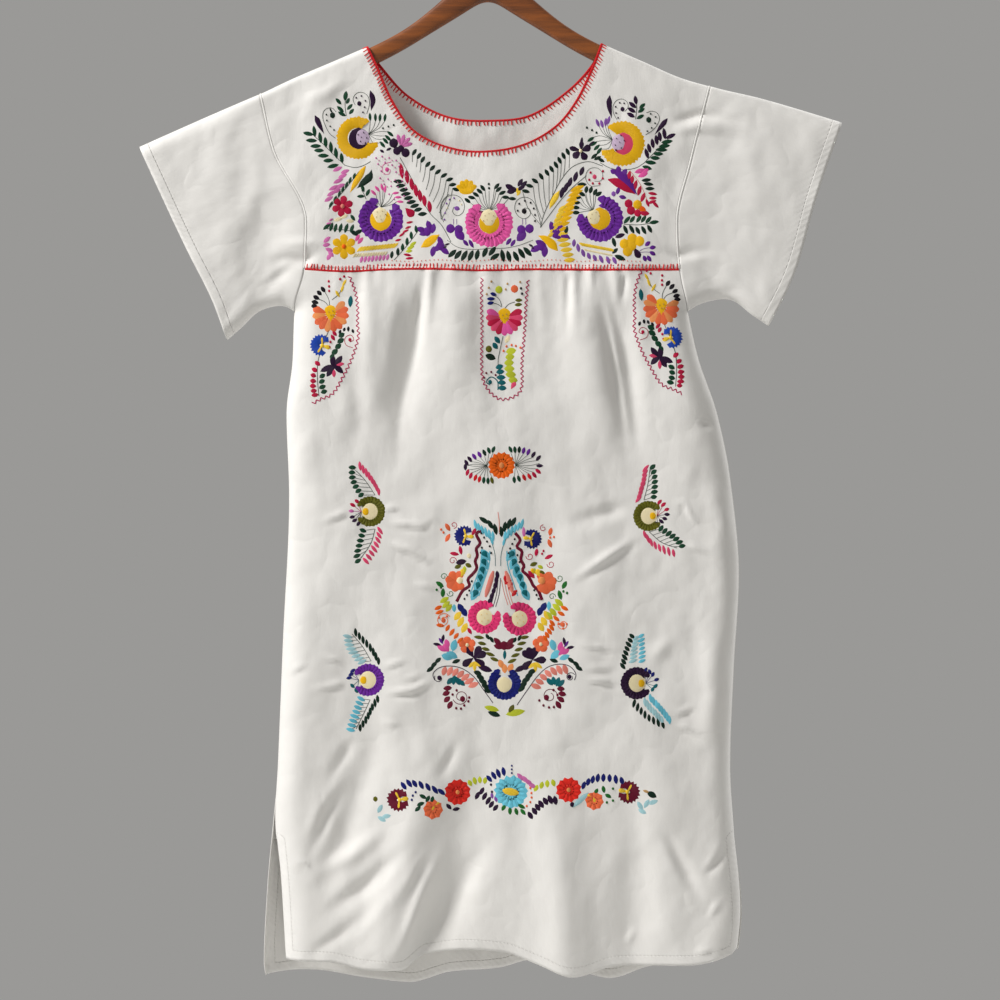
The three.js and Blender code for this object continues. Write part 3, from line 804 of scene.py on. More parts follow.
skirt_front = skirt_panel("skirt_front_cotton", FRONT)
skirt_back = skirt_panel("skirt_back_cotton", BACK)
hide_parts("skirt_front")
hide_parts("skirt_back")


# ---- The yoke ----
QUARTER_TURN = SHOULDER_ROLL * math.pi / 2


def reach_of(x, z):
    """The way down the cloth from the shoulder's crest to a height."""
    drop = top_edge(x) - z
    rolled = SHOULDER_ROLL * np.arccos(1 - np.clip(drop / SHOULDER_ROLL, 0, 1))
    return np.where(drop >= SHOULDER_ROLL, QUARTER_TURN + drop - SHOULDER_ROLL, rolled)


def on_yoke(x, signed_reach):
    """A place on the yoke's skin. Reach is positive on the front and negative on the back."""
    reach = np.abs(signed_reach)
    turn = np.minimum(reach / SHOULDER_ROLL, math.pi / 2)
    drop = SHOULDER_ROLL * (1 - np.cos(turn)) + np.maximum(reach - QUARTER_TURN, 0)
    z = top_edge(x) - drop
    y = np.where(signed_reach < 0, BACK.depth(x, z), -FRONT.depth(x, z))
    return np.stack([x, y, z], -1)


def on_yoke_and_normal(x, signed_reach):
    step = 0.5
    across = on_yoke(x + step, signed_reach) - on_yoke(x - step, signed_reach)
    down = on_yoke(x, signed_reach + step) - on_yoke(x, signed_reach - step)
    normal = np.cross(down, across)
    return on_yoke(x, signed_reach), normal / np.linalg.norm(normal, axis=-1, keepdims=True)


# Steps down from a shoulder's crest, close together where the cloth rolls over it.
CREST_STEPS = np.array([0, 0.4, 1.2, 2.4, 4, 6, 8.5, 12, 16])
PAST_HEM = 14.0  # the neck is edged with thread, so its cloth starts past a hem's stitches


def armhole_heights(edge, count):
    start = edge[-1][0] - CREST_STEPS
    return np.concatenate([start, np.linspace(start[-1], YOKE_SEAM, count)[1:]])


def yoke_rim(face, rows, seam_count):
    """One face's outer edge: down the right armhole, along the yoke seam and up the left one."""
    right_z = armhole_heights(RIGHT_EDGE, rows)
    left_z = armhole_heights(LEFT_EDGE, rows)
    right = np.stack([face.right(right_z), right_z], -1)
    left = np.stack([face.left(left_z), left_z], -1)
    seam_x = np.linspace(right[-1, 0], left[-1, 0], seam_count)[1:-1]
    seam = np.stack([seam_x, np.full(seam_x.shape, float(YOKE_SEAM))], -1)
    rim = np.concatenate([right, seam, left[::-1]])
    rim[:, 1] = np.maximum(rim[:, 1], YOKE_SEAM + SEAM_GAP / 2)
    return rim


def neck_line(face):
    first, last = ((x, float(top_edge(x))) for x in NECK_SHOULDERS)
    return outline([first, *face.neck, last])


def neck_rim(face, count):
    """The same number of places along a neck curve, close together at each shoulder."""
    line = neck_line(face)
    length = length_of(line)
    end = length - CREST_STEPS[::-1]
    middle = np.linspace(CREST_STEPS[-1], end[0], count + 2 - 2 * len(CREST_STEPS))[1:-1]
    return along_line(line, np.concatenate([CREST_STEPS, middle, end]) / length)


def yoke_piece():
    rings = 64
    spokes = []
    for face in (FRONT, BACK):
        outer = yoke_rim(face, 60, 128)
        inner = neck_rim(face, len(outer))
        ends = [
            np.stack([side[:, 0], -face.sign * reach_of(side[:, 0], side[:, 1])], -1)
            for side in (inner, outer)
        ]
        if face is BACK:
            ends = [side[1:-1][::-1] for side in ends]
        spokes.append(ends)
    inner, outer = (np.concatenate([pair[i] for pair in spokes]) for i in (0, 1))
    t = np.linspace(0, 1, rings)[:, None, None]
    flat = inner + (outer - inner) * t
    grid = on_yoke(flat[..., 0], flat[..., 1])
    from_neck = np.linalg.norm(flat - inner, axis=-1)
    grid, flat, from_neck = grid[:, ::-1], flat[:, ::-1], from_neck[:, ::-1]
    return cloth_piece("yoke_cotton", grid, flat, from_neck + PAST_HEM, closed=True)


yoke = yoke_piece()
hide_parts("yoke")


# ---- The sleeves ----
SLEEVE_ARMHOLE_DEPTH = 11
SLEEVE_CUFF_DEPTH = 14
SLEEVE_ROLL = 16
SLEEVE_OPENS = 0.4  # the share of its length over which a sleeve widens from its armhole


class Sleeve:
    """A flattened tube between its armhole, its cuff, its top edge and its underarm edge."""

    def __init__(self, name, out, edge, cuff, underarm):
        self.name = name
        self.out = out
        self.crest = (edge[-1][1], edge[-1][0])
        self.edge = edge
        self.armhole = smooth_curve(edge, 0, 1)
        beyond = [row for row in TOP_EDGE if row[0] * out > self.crest[0] * out]
        beyond.sort(key=lambda row: row[0] * out)
        self.top = outline([self.crest, *beyond])
        self.bottom = outline(underarm)
        self.mouth = outline(cuff)

    def inner(self, q):
        z = self.crest[1] + (ARMPIT - self.crest[1]) * q
        return np.stack([self.armhole(z), z], -1)

    def place(self, s, q):
        """A place in the middle plane: s from armhole to cuff, q from top edge to underarm."""
        s1, q1 = s[..., None], q[..., None]
        ends = [self.inner(0.0), self.inner(1.0), self.mouth[0], self.mouth[-1]]
        shares = [(1 - s1) * (1 - q1), (1 - s1) * q1, s1 * (1 - q1), s1 * q1]
        point = self.inner(q) * (1 - s1) + along_line(self.mouth, q) * s1
        point = point + along_line(self.top, s) * (1 - q1) + along_line(self.bottom, s) * q1
        return point - sum(np.asarray(end) * share for end, share in zip(ends, shares))

    def skin(self, face, s, q):
        point = self.place(s, q)
        start = self.inner(q)
        seam = face.depth(start[..., 0], start[..., 1])
        zero = np.zeros_like(q)
        span = np.linalg.norm(self.place(s, zero) - self.place(s, zero + 1), axis=-1)
        roll = quarter_round(np.minimum(q, 1 - q) * span / SLEEVE_ROLL)
        tube = SLEEVE_ARMHOLE_DEPTH + (SLEEVE_CUFF_DEPTH - SLEEVE_ARMHOLE_DEPTH) * s
        tube = tube + face.relief(point[..., 0], point[..., 1])
        depth = seam + (roll * tube - seam) * smooth_step(s / SLEEVE_OPENS)
        return np.stack([point[..., 0] + self.out * SEAM_GAP, face.sign * depth, point[..., 1]], -1)

    def cloth(self):
        stations = np.linspace(0, 1, 44)
        heights = np.concatenate(
            [armhole_heights(self.edge, 58), np.linspace(YOKE_SEAM, ARMPIT, 16)[1:-4]]
        )
        last = ARMPIT + np.array([9, 5.5, 3, 1.2, 0.4, 0])
        heights = np.concatenate([heights, last])
        fractions = (self.crest[1] - heights) / (self.crest[1] - ARMPIT)
        s, q = np.meshgrid(stations, fractions, indexing="ij")
        front = self.skin(FRONT, s, q)
        back = self.skin(BACK, s, q)
        grid = np.concatenate([front, back[:, 1:-1][:, ::-1]], axis=1)
        half_round = 250
        front_weave = np.linspace(0, half_round, len(fractions))
        back_weave = np.linspace(half_round, 2 * half_round, len(fractions))[1:-1]
        around = np.concatenate([front_weave, back_weave])
        length = np.linalg.norm(self.place(s, q) - self.inner(q), axis=-1)
        to_cuff = np.linalg.norm(self.place(np.ones_like(s), q) - self.place(s, q), axis=-1)
        length, to_cuff = (np.concatenate([v, v[:, 1:-1][:, ::-1]], axis=1) for v in (length, to_cuff))
        weave = np.stack([np.broadcast_to(around, length.shape), length], -1)
        if self.out < 0:
            grid, weave, to_cuff = grid[:, ::-1], weave[:, ::-1], to_cuff[:, ::-1]
        return cloth_piece(self.name + "_cotton", grid, weave, to_cuff, closed=True)


SLEEVE_RIGHT = Sleeve(
    "sleeve_right",
    -1,
    RIGHT_EDGE,
    [(-400, -269), (-348, -381), (-315, -447), (-299, -491)],
    [(-222, -458), (-236, -452), (-262, -458), (-283, -477), (-299, -491)],
)
SLEEVE_LEFT = Sleeve(
    "sleeve_left",
    1,
    LEFT_EDGE,
    [(406, -241), (377, -325), (351, -415), (322, -475)],
    [(229, -458), (246, -449), (278, -445), (304, -463), (322, -475)],
)
for cut in (SLEEVE_RIGHT, SLEEVE_LEFT):
    sleeve = cut.cloth()
    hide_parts(cut.name)


# ---- The hanger ----
def refined_copy(node, name, material, levels):
    """A smooth copy of a hard node, with its loose triangles joined and its faces divided."""
    piece = frame["nodes"][node].copy()
    piece.data = frame["nodes"][node].data.copy()
    piece.name = name
    for key in list(piece.keys()):
        del piece[key]
    piece.parent = None
    bpy.context.scene.collection.objects.link(piece)
    deselect_all()
    piece.select_set(True)
    bpy.context.view_layer.objects.active = piece
    bpy.ops.object.mode_set(mode="EDIT")
    bpy.ops.mesh.select_all(action="SELECT")
    bpy.ops.mesh.remove_doubles(threshold=0.00001)
    bpy.ops.mesh.tris_convert_to_quads()
    bpy.ops.object.mode_set(mode="OBJECT")
    rounding = piece.modifiers.new("rounding", "SUBSURF")
    rounding.levels = levels
    rounding.render_levels = levels
    finish_modifiers(piece)
    bpy.ops.object.shade_smooth_by_angle(angle=math.radians(50))
    piece.data.materials.clear()
    piece.data.materials.append(material)
    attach(piece, "root")
    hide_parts(node)


refined_copy("hanger_arms", "hanger_arms_varnished", varnished_wood(), 2)
refined_copy("hanger_hook", "hanger_hook_wire", plated_steel(), 1)


# ---- Thread ----
SHADES = {
    "red": (214, 26, 36),
    "scarlet": (236, 44, 32),
    "tooth_red": (236, 66, 66),
    "crimson": (196, 16, 66),
    "rose": (232, 74, 116),
    "hot_pink": (236, 56, 120),
    "pink": (236, 92, 168),
    "orchid": (222, 120, 186),
    "pale_pink": (240, 168, 200),
    "lilac": (140, 88, 176),
    "pale_lilac": (222, 200, 226),
    "purple": (104, 36, 150),
    "plum": (40, 8, 50),
    "wine": (112, 6, 44),
    "navy": (14, 26, 112),
    "blue": (28, 74, 184),
    "light_blue": (110, 204, 226),
    "pale_blue": (170, 216, 222),
    "teal": (0, 104, 112),
    "green": (6, 66, 40),
    "dark_green": (2, 40, 26),
    "leaf_green": (30, 112, 40),
    "lime": (204, 214, 52),
    "olive": (96, 96, 14),
    "gold": (255, 198, 14),
    "magenta": (196, 22, 92),
    "yellow": (254, 214, 60),
    "cream": (255, 242, 196),
    "orange": (246, 104, 10),
    "peach": (250, 158, 92),
    "coral": (250, 116, 70),
    "salmon": (244, 144, 128),
    "stem": (58, 74, 62),
    "black": (16, 12, 22),
    "tan": (198, 158, 104),
}
STITCH_RISE = 0.85  # how far a satin pad stands off the cloth
SUNK = 0.12  # how far its rim sits in it
FULLNESS = (1.1, 1.28)  # how the thread of a leaf swells past its drawn length and width


def thread_finish():
    """Mercerised embroidery thread: fine parallel strands with a soft gloss, and painted sheen and painted
    shade along them.
    """
    strand = 0.42 * MM
    finish = Finish("embroidery_thread", Roughness=0.6, Specular_IOR_Level=0.12)
    across, along, _ = finish.parts(finish.place("strands"))
    twist = finish.maths("SINE", (across + 0.06 * along) * (2 * math.pi / strand))
    streak_place = finish.vector(across * 1500, along * 90, 0.0)
    streak = finish.noise(streak_place, 1.0, 2.0)
    # How far each spot is painted towards the lit copy: strand crests and streaks get painted sheen, the
    # grooves painted shade.
    shade = finish.clamp(0.5 + 0.22 * twist + 1.3 * (streak - 0.5))
    base = finish.colour("thread_colour")
    # A shaded copy and a lit copy of the thread's colour, for painted shade and painted sheen.
    strand_shade_colour = finish.mix(1.0, base, tint(246, 242, 244), "MULTIPLY")
    strand_sheen_colour = finish.mix(0.012, base, tint(255, 250, 244), "SCREEN")
    finish.set(finish.shader, {"Base Color": finish.mix(shade, strand_shade_colour, strand_sheen_colour)})
    finish.set(finish.shader, {"Roughness": 0.42 + 0.2 * streak})
    finish.bump(twist + streak, 0.12 * MM, 0.6)
    return finish.material


THREAD = thread_finish()
PAD_PATTERNS = {}


def pad_pattern(across, rows):
    """A flat grid, modelled once: each vertex's place across (-1 to 1), its row, and the faces."""
    if (across, rows) not in PAD_PATTERNS:
        deselect_all()
        bpy.ops.mesh.primitive_grid_add(x_subdivisions=across, y_subdivisions=rows, size=2)
        grid = bpy.context.object
        places = np.array([vertex.co[:2] for vertex in grid.data.vertices])
        faces = np.array([list(face.vertices) for face in grid.data.polygons])
        row = np.rint((places[:, 1] + 1) / 2 * rows).astype(int)
        PAD_PATTERNS[across, rows] = (places[:, 0], row, faces)
        bpy.data.objects.remove(grid)
    return PAD_PATTERNS[across, rows]


def heading(degrees):
    """The chart's rows run downwards, so a turn that looks anticlockwise lowers the row."""
    return np.array([math.cos(math.radians(degrees)), -math.sin(math.radians(degrees))])


def lay_on_front(squares):
    """Where squares of the chart come to lie on the front, as drawn from the camera's place."""
    x, z = off_chart(squares[:, 0], squares[:, 1])
    nearer = 1 - (SHOULDER_ROLL + FRONT.swell(z)) / CAMERA_DISTANCE
    x = CAMERA_X + (x - CAMERA_X) * nearer
    z = CAMERA_Z + (z - CAMERA_Z) * nearer
    return FRONT.skin_and_normal(x, z)


class Stitching:
    """Satin pads, knots and lines of thread, drawn in squares and then sewn on the cloth."""

    def __init__(self, name, seed, lay=lay_on_front, unit=CHART_SQUARE, inside=False):
        self.name = name
        self.lay = lay
        self.unit = unit
        self.order = -1 if inside else 1
        self.draw = np.random.default_rng(seed)
        self.squares, self.heights, self.strands, self.colours, self.faces = [], [], [], [], []
        self.count = 0

    def pad(self, spine, half, colour, rise=STITCH_RISE, across=4, strands_along=True):
        """A domed pad along a line of places, with its half width at each."""
        spine, half = np.asarray(spine, float), np.asarray(half, float)
        u, row, faces = pad_pattern(across, len(spine) - 1)
        ahead = np.gradient(spine, axis=0)
        ahead /= np.maximum(np.linalg.norm(ahead, axis=1, keepdims=True), 1e-9)
        side = np.stack([-ahead[:, 1], ahead[:, 0]], -1)
        steps = np.linalg.norm(np.diff(spine, axis=0), axis=1)
        reach = np.concatenate([[0], np.cumsum(steps)])[row] * self.unit
        self.squares.append(spine[row] + side[row] * (u * half[row])[:, None])
        fullness = np.sqrt(np.clip(half / half.max(), 0, 1))[row]
        dome = np.sqrt(np.clip(1 - u * u, 0, 1))
        self.heights.append(rise * dome * fullness - SUNK)
        beside = u * half[row] * self.unit
        strands = [beside, reach] if strands_along else [reach, beside]
        self.strands.append(np.stack([*strands, np.zeros_like(u)], -1) * MM)
        shade = np.array(tint(*SHADES[colour]))
        shade[:3] *= self.draw.uniform(0.88, 1.1)
        self.colours.append(np.broadcast_to(shade, (len(u), 4)))
        self.faces.append(faces[:, :: self.order] + self.count)
        self.count += len(u)

    def leaf(self, x, y, long, angle, wide, colour, bend=0.0):
        t = np.linspace(0, 1, 7)
        way = heading(angle)
        sideways = np.array([-way[1], way[0]])
        spine = np.array([x, y]) + np.outer((t - 0.5) * long * FULLNESS[0], way)
        spine = spine + np.outer(bend * (1 - (2 * t - 1) ** 2), sideways)
        half = wide / 2 * FULLNESS[1] * np.maximum(np.sin(np.pi * t), 0.02) ** 0.6
        self.pad(spine, half, colour, across=2)

    def blade(self, places, half, colour, rise=STITCH_RISE):
        """A broad leaf along a curve, with its half width at each place."""
        t = np.linspace(0, 1, 12)
        spine = along_line(outline(places, 6), t)
        width = np.interp(t, np.linspace(0, 1, len(half)), half)
        width = width * np.maximum(np.minimum(1, 4.5 * np.minimum(t, 1 - t)), 0.05) ** 0.5
        self.pad(spine, width, colour, rise)

    def drop(self, x, y, long, angle, wide, colour, rise=STITCH_RISE):
        """A teardrop from its point at x, y to its round end."""
        t = np.array([0, 0.18, 0.4, 0.62, 0.8, 0.93, 1])
        spine = np.array([x, y]) + np.outer(t * long, heading(angle))
        half = wide / 2 * np.array([0.08, 0.4, 0.75, 0.98, 0.92, 0.58, 0.1])
        self.pad(spine, half, colour, rise, across=2)

    def leaves(self, rows, long, wide, colour):
        """Leaves at these places, each with its own angle."""
        for x, y, angle in rows:
            self.leaf(x, y, long * self.draw.uniform(0.9, 1.1), angle, wide, colour)

    def disc(self, x, y, radius, colour, rise=STITCH_RISE):
        t = np.linspace(-1, 1, 9)
        spine = np.array([x, y]) + np.outer(t * radius, heading(90))
        self.pad(spine, radius * np.maximum(np.sqrt(1 - t * t), 0.08), colour, rise)

    def knots(self, places, radius, colour, rise=1.1):
        for x, y in places:
            t = np.array([-1, -0.6, 0, 0.6, 1])
            spine = np.array([x, y]) + np.outer(t * radius, heading(90))
            half = radius * np.array([0.2, 0.85, 1, 0.85, 0.2])
            self.pad(spine, half, colour, rise, across=2)

    def ring(self, x, y, inner, outer, start, end, teeth, colour, notch=0.15, steps=2):
        """A part ring of satin worked outwards, its rim toothed by as much as notch says."""
        middle = np.array([x, y])
        spine, half = [], []
        for i in range(steps * teeth + 1):
            way = heading(start + (end - start) * i / (steps * teeth))
            between = 1 - math.sin(math.pi * (i % steps) / steps)
            reach = outer * (1 - notch * between) * self.draw.uniform(0.98, 1.02)
            spine.append(middle + way * (inner + reach) / 2)
            half.append((reach - inner) / 2)
        self.pad(spine, half, colour, STITCH_RISE, strands_along=False)

    def blossom(self, x, y, radius, petals, colour, turn=90):
        """A full round flower with a lobed rim."""
        self.ring(x, y, 0.1, radius, turn, turn + 360, petals, colour, 0.3, 4)

    def line(self, places, colour="stem", wide=0.85, rise=0.45):
        step = 2.2
        smooth = outline(places, 6) if len(places) > 2 else np.array(places, float)
        count = max(int(length_of(smooth) / step), 2)
        spine = along_line(smooth, np.linspace(0, 1, count + 1))
        self.pad(spine, np.full(count + 1, wide / 2), colour, rise, across=2)

    def spiral(self, x, y, radius, turns, start, colour="stem", dots=None, dot=1.0):
        """A coil of line inwards from its rim, with knots between its turns."""
        t = np.linspace(0, 1, max(int(14 * abs(turns)), 8))
        angles = start + 360 * turns * t
        radii = radius * (1 - 0.62 * t)
        places = [np.array([x, y]) + heading(a) * r for a, r in zip(angles, radii)]
        self.line(places, colour, 1.0)
        if dots:
            shade, count = dots
            for i in range(count):
                spot = np.array([x, y]) + heading(start + 20 + i * 300 / count) * radius * 0.72
                self.knots([spot], dot, shade)
            self.knots([(x, y)], dot * 2, shade)

    def row(self, start, end, count, long, wide, angle, colour, turn=0.0):
        """Leaves side by side along a line."""
        for t in np.linspace(0, 1, count):
            x, y = (a + (b - a) * t for a, b in zip(start, end))
            self.leaf(x, y, long * self.draw.uniform(0.9, 1.1), angle + turn * t, wide, colour)

    def zigzag(self, places, colour, size=1.5, pitch=5.0):
        """A zigzag line of stitches that follows a path."""
        path = np.array(places, float) if len(places) < 3 else outline(places, 8)
        count = int(length_of(path) / pitch) * 2
        spine = along_line(path, np.linspace(0, 1, count + 1))
        ahead = np.gradient(spine, axis=0)
        ahead /= np.linalg.norm(ahead, axis=1, keepdims=True)
        side = np.stack([-ahead[:, 1], ahead[:, 0]], -1)
        corners = spine + side * (size * (-1.0) ** np.arange(count + 1))[:, None]
        for first, second in zip(corners[:-1], corners[1:]):
            self.pad([first, (first + second) / 2, second], [0.6, 0.68, 0.6], colour, 0.6, across=2)

    def blanket(self, path, tooth, pitch, edge_wide, wide):
        """Blanket stitch: a cord along an edge, with a tooth at each stitch on its left."""
        count = int(length_of(path) / pitch)
        spine = along_line(path, np.linspace(0, 1, count * 2 + 1))
        self.pad(
            spine, np.full(len(spine), edge_wide / 2), "red", 1.0, across=2, strands_along=False,
        )
        ahead = np.gradient(spine, axis=0)
        ahead /= np.linalg.norm(ahead, axis=1, keepdims=True)
        side = np.stack([ahead[:, 1], -ahead[:, 0]], -1)
        for i in range(1, len(spine), 2):
            lean = ahead[i] * self.draw.uniform(-0.12, 0.3) * tooth
            end = spine[i] + side[i] * tooth * self.draw.uniform(0.88, 1.1) + lean
            t = np.linspace(0, 1, 6)
            half = wide / 2 * np.array([1.0, 1.0, 0.95, 0.9, 0.9, 0.6])
            tooth_line = spine[i] + np.outer(t, end - spine[i])
            self.pad(tooth_line, half, "tooth_red", 1.15, across=2)

    def sew(self):
        squares = np.concatenate(self.squares)
        point, normal = self.lay(squares)
        points = point + normal * np.concatenate(self.heights)[:, None]
        faces = [face for group in self.faces for face in group.tolist()]
        vectors = [("strands", np.concatenate(self.strands))]
        colours = [("thread_colour", np.concatenate(self.colours))]
        piece = mesh_piece(self.name, points, faces, THREAD, vectors, (), colours)


# ---- Blanket stitch round the neck and along the yoke seam ----
def lay_on_yoke(places):
    return on_yoke_and_normal(places[:, 0], places[:, 1])


def lay_inside_yoke(places):
    point, normal = on_yoke_and_normal(places[:, 0], places[:, 1])
    return point - normal * CLOTH, -normal


def neck_stitching():
    for label, lay in (("outside", lay_on_yoke), ("inside", lay_inside_yoke)):
        stitching = Stitching("neck_stitch_" + label, 5, lay, 1.0, label == "inside")
        for face in (FRONT, BACK):
            line = neck_line(face)
            path = np.stack([line[:, 0], -face.sign * reach_of(line[:, 0], line[:, 1])], -1)
            path[:, 1] += -face.sign * 0.9
            path = along_line(path, np.linspace(0.002, 0.998, 400))
            if face is FRONT:
                path = path[::-1]
            stitching.blanket(path, tooth=5.6, pitch=4.6, edge_wide=2.7, wide=2.1)
        stitching.sew()


def seam_stitching():
    front = Stitching("yoke_seam_stitch", 6)
    line = [
        (305, 269), (345, 271.5), (382, 269.8), (430, 269), (483, 270.5), (527, 269.5), (600, 270),
        (679, 269.5),
    ]
    front.blanket(outline(line), tooth=5.6, pitch=3.5, edge_wide=2.4, wide=1.7)
    dots = [(x, 260.6 + 0.8 * math.sin(x / 9)) for x in np.arange(392, 640, 4.2)]
    front.knots(dots, 0.7, "salmon", 0.8)
    front.sew()


neck_stitching()
seam_stitching()


# ---- Seams where the sleeves and the side panels join ----
SEAM_WELT = 0.8  # half the width of a seam's ridge
WELT_HEIGHT = 0.6  # how high a ridge stands, and below how deep it sinks, as shares of that
ARMHOLE_SUNK = 0.75
SIDE_SEAM_SUNK = 0.6
SHOULDER_LEAN = 1.4  # how much an armhole's ridge turns upwards on the shoulder's crest
FAR_FROM_EDGE = 60.0  # a seam has no hem's stitches


def seam_tube(name, path, away):
    """A soft ridge of cotton along a seam, sunk in the cloth on both of its sides."""
    path, away = np.asarray(path, float), np.asarray(away, float)
    ahead = np.gradient(path, axis=0)
    ahead /= np.maximum(np.linalg.norm(ahead, axis=1, keepdims=True), 1e-9)
    side = np.cross(ahead, away)
    side /= np.maximum(np.linalg.norm(side, axis=1, keepdims=True), 1e-9)
    turns = np.linspace(0, 2 * np.pi, 7)[:-1]
    around = [
        side * math.cos(t) * SEAM_WELT + away * (math.sin(t) * WELT_HEIGHT * SEAM_WELT)
        for t in turns
    ]
    rings = np.stack([path + offset for offset in around], 1)
    reach = np.concatenate([[0], np.cumsum(np.linalg.norm(np.diff(path, axis=0), axis=1))])
    weave = np.stack(np.broadcast_arrays(turns[None, :] * SEAM_WELT, reach[:, None]), -1)
    cloth_piece(name, rings, weave, np.full(rings.shape[:2], FAR_FROM_EDGE), closed=True)


def armhole_welts():
    for cut in (SLEEVE_RIGHT, SLEEVE_LEFT):
        heights = armhole_heights(cut.edge, 46)
        x = cut.armhole(heights) + cut.out * SEAM_GAP / 2
        front = np.stack([x, -FRONT.depth(cut.armhole(heights), heights), heights], -1)
        back = np.stack([x, BACK.depth(cut.armhole(heights), heights), heights], -1)
        path = np.concatenate([front[::-1], back[1:]])
        away = np.zeros_like(path)
        away[:, 1] = path[:, 1] / np.maximum(np.abs(path[:, 1]), 1e-6)
        rise = np.clip(1 - np.abs(path[:, 1]) / SHOULDER_ROLL, 0, 1)
        away[:, 2] = rise * SHOULDER_LEAN
        away /= np.linalg.norm(away, axis=1, keepdims=True)
        path -= away * SEAM_WELT * ARMHOLE_SUNK
        seam_tube(cut.name + "_armhole_seam", path, away)


def side_seams():
    heights = np.linspace(ARMPIT - 1.5, SLIT_TOP + 1, 70)
    for label, edge, out in (("right", FRONT.right, -1), ("left", FRONT.left, 1)):
        x = edge(heights)
        path = np.stack([x - out * SIDE_SEAM_SUNK * SEAM_WELT, np.zeros_like(x), heights], -1)
        away = np.broadcast_to([float(out), 0.0, 0.0], path.shape)
        seam_tube("side_seam_" + label, path, away)


armhole_welts()
side_seams()


# ---- Embroidery on the yoke ----
# Places are columns and rows of the chart, sizes are in its squares and angles in degrees.
def sweep_of_stems(work, leaves, roots, long, wide, colour):
    """Leaves whose stems curve down side by side to a row of roots."""
    for (x, y, angle), root in zip(leaves, roots):
        work.leaf(x, y, long, angle, wide, colour)
        base = np.array([x, y]) - heading(angle) * long * 0.5
        middle = np.array(
            [base[0] + (root[0] - base[0]) * 0.3, base[1] + (root[1] - base[1]) * 0.5]
        )
        work.line([base, middle, root], "stem", 0.6)


def dotted_loop(work, path, knot, size, dots, colour):
    work.line(path, "stem", 0.7)
    work.knots([knot], size, colour)
    work.knots(dots, 0.95, colour)


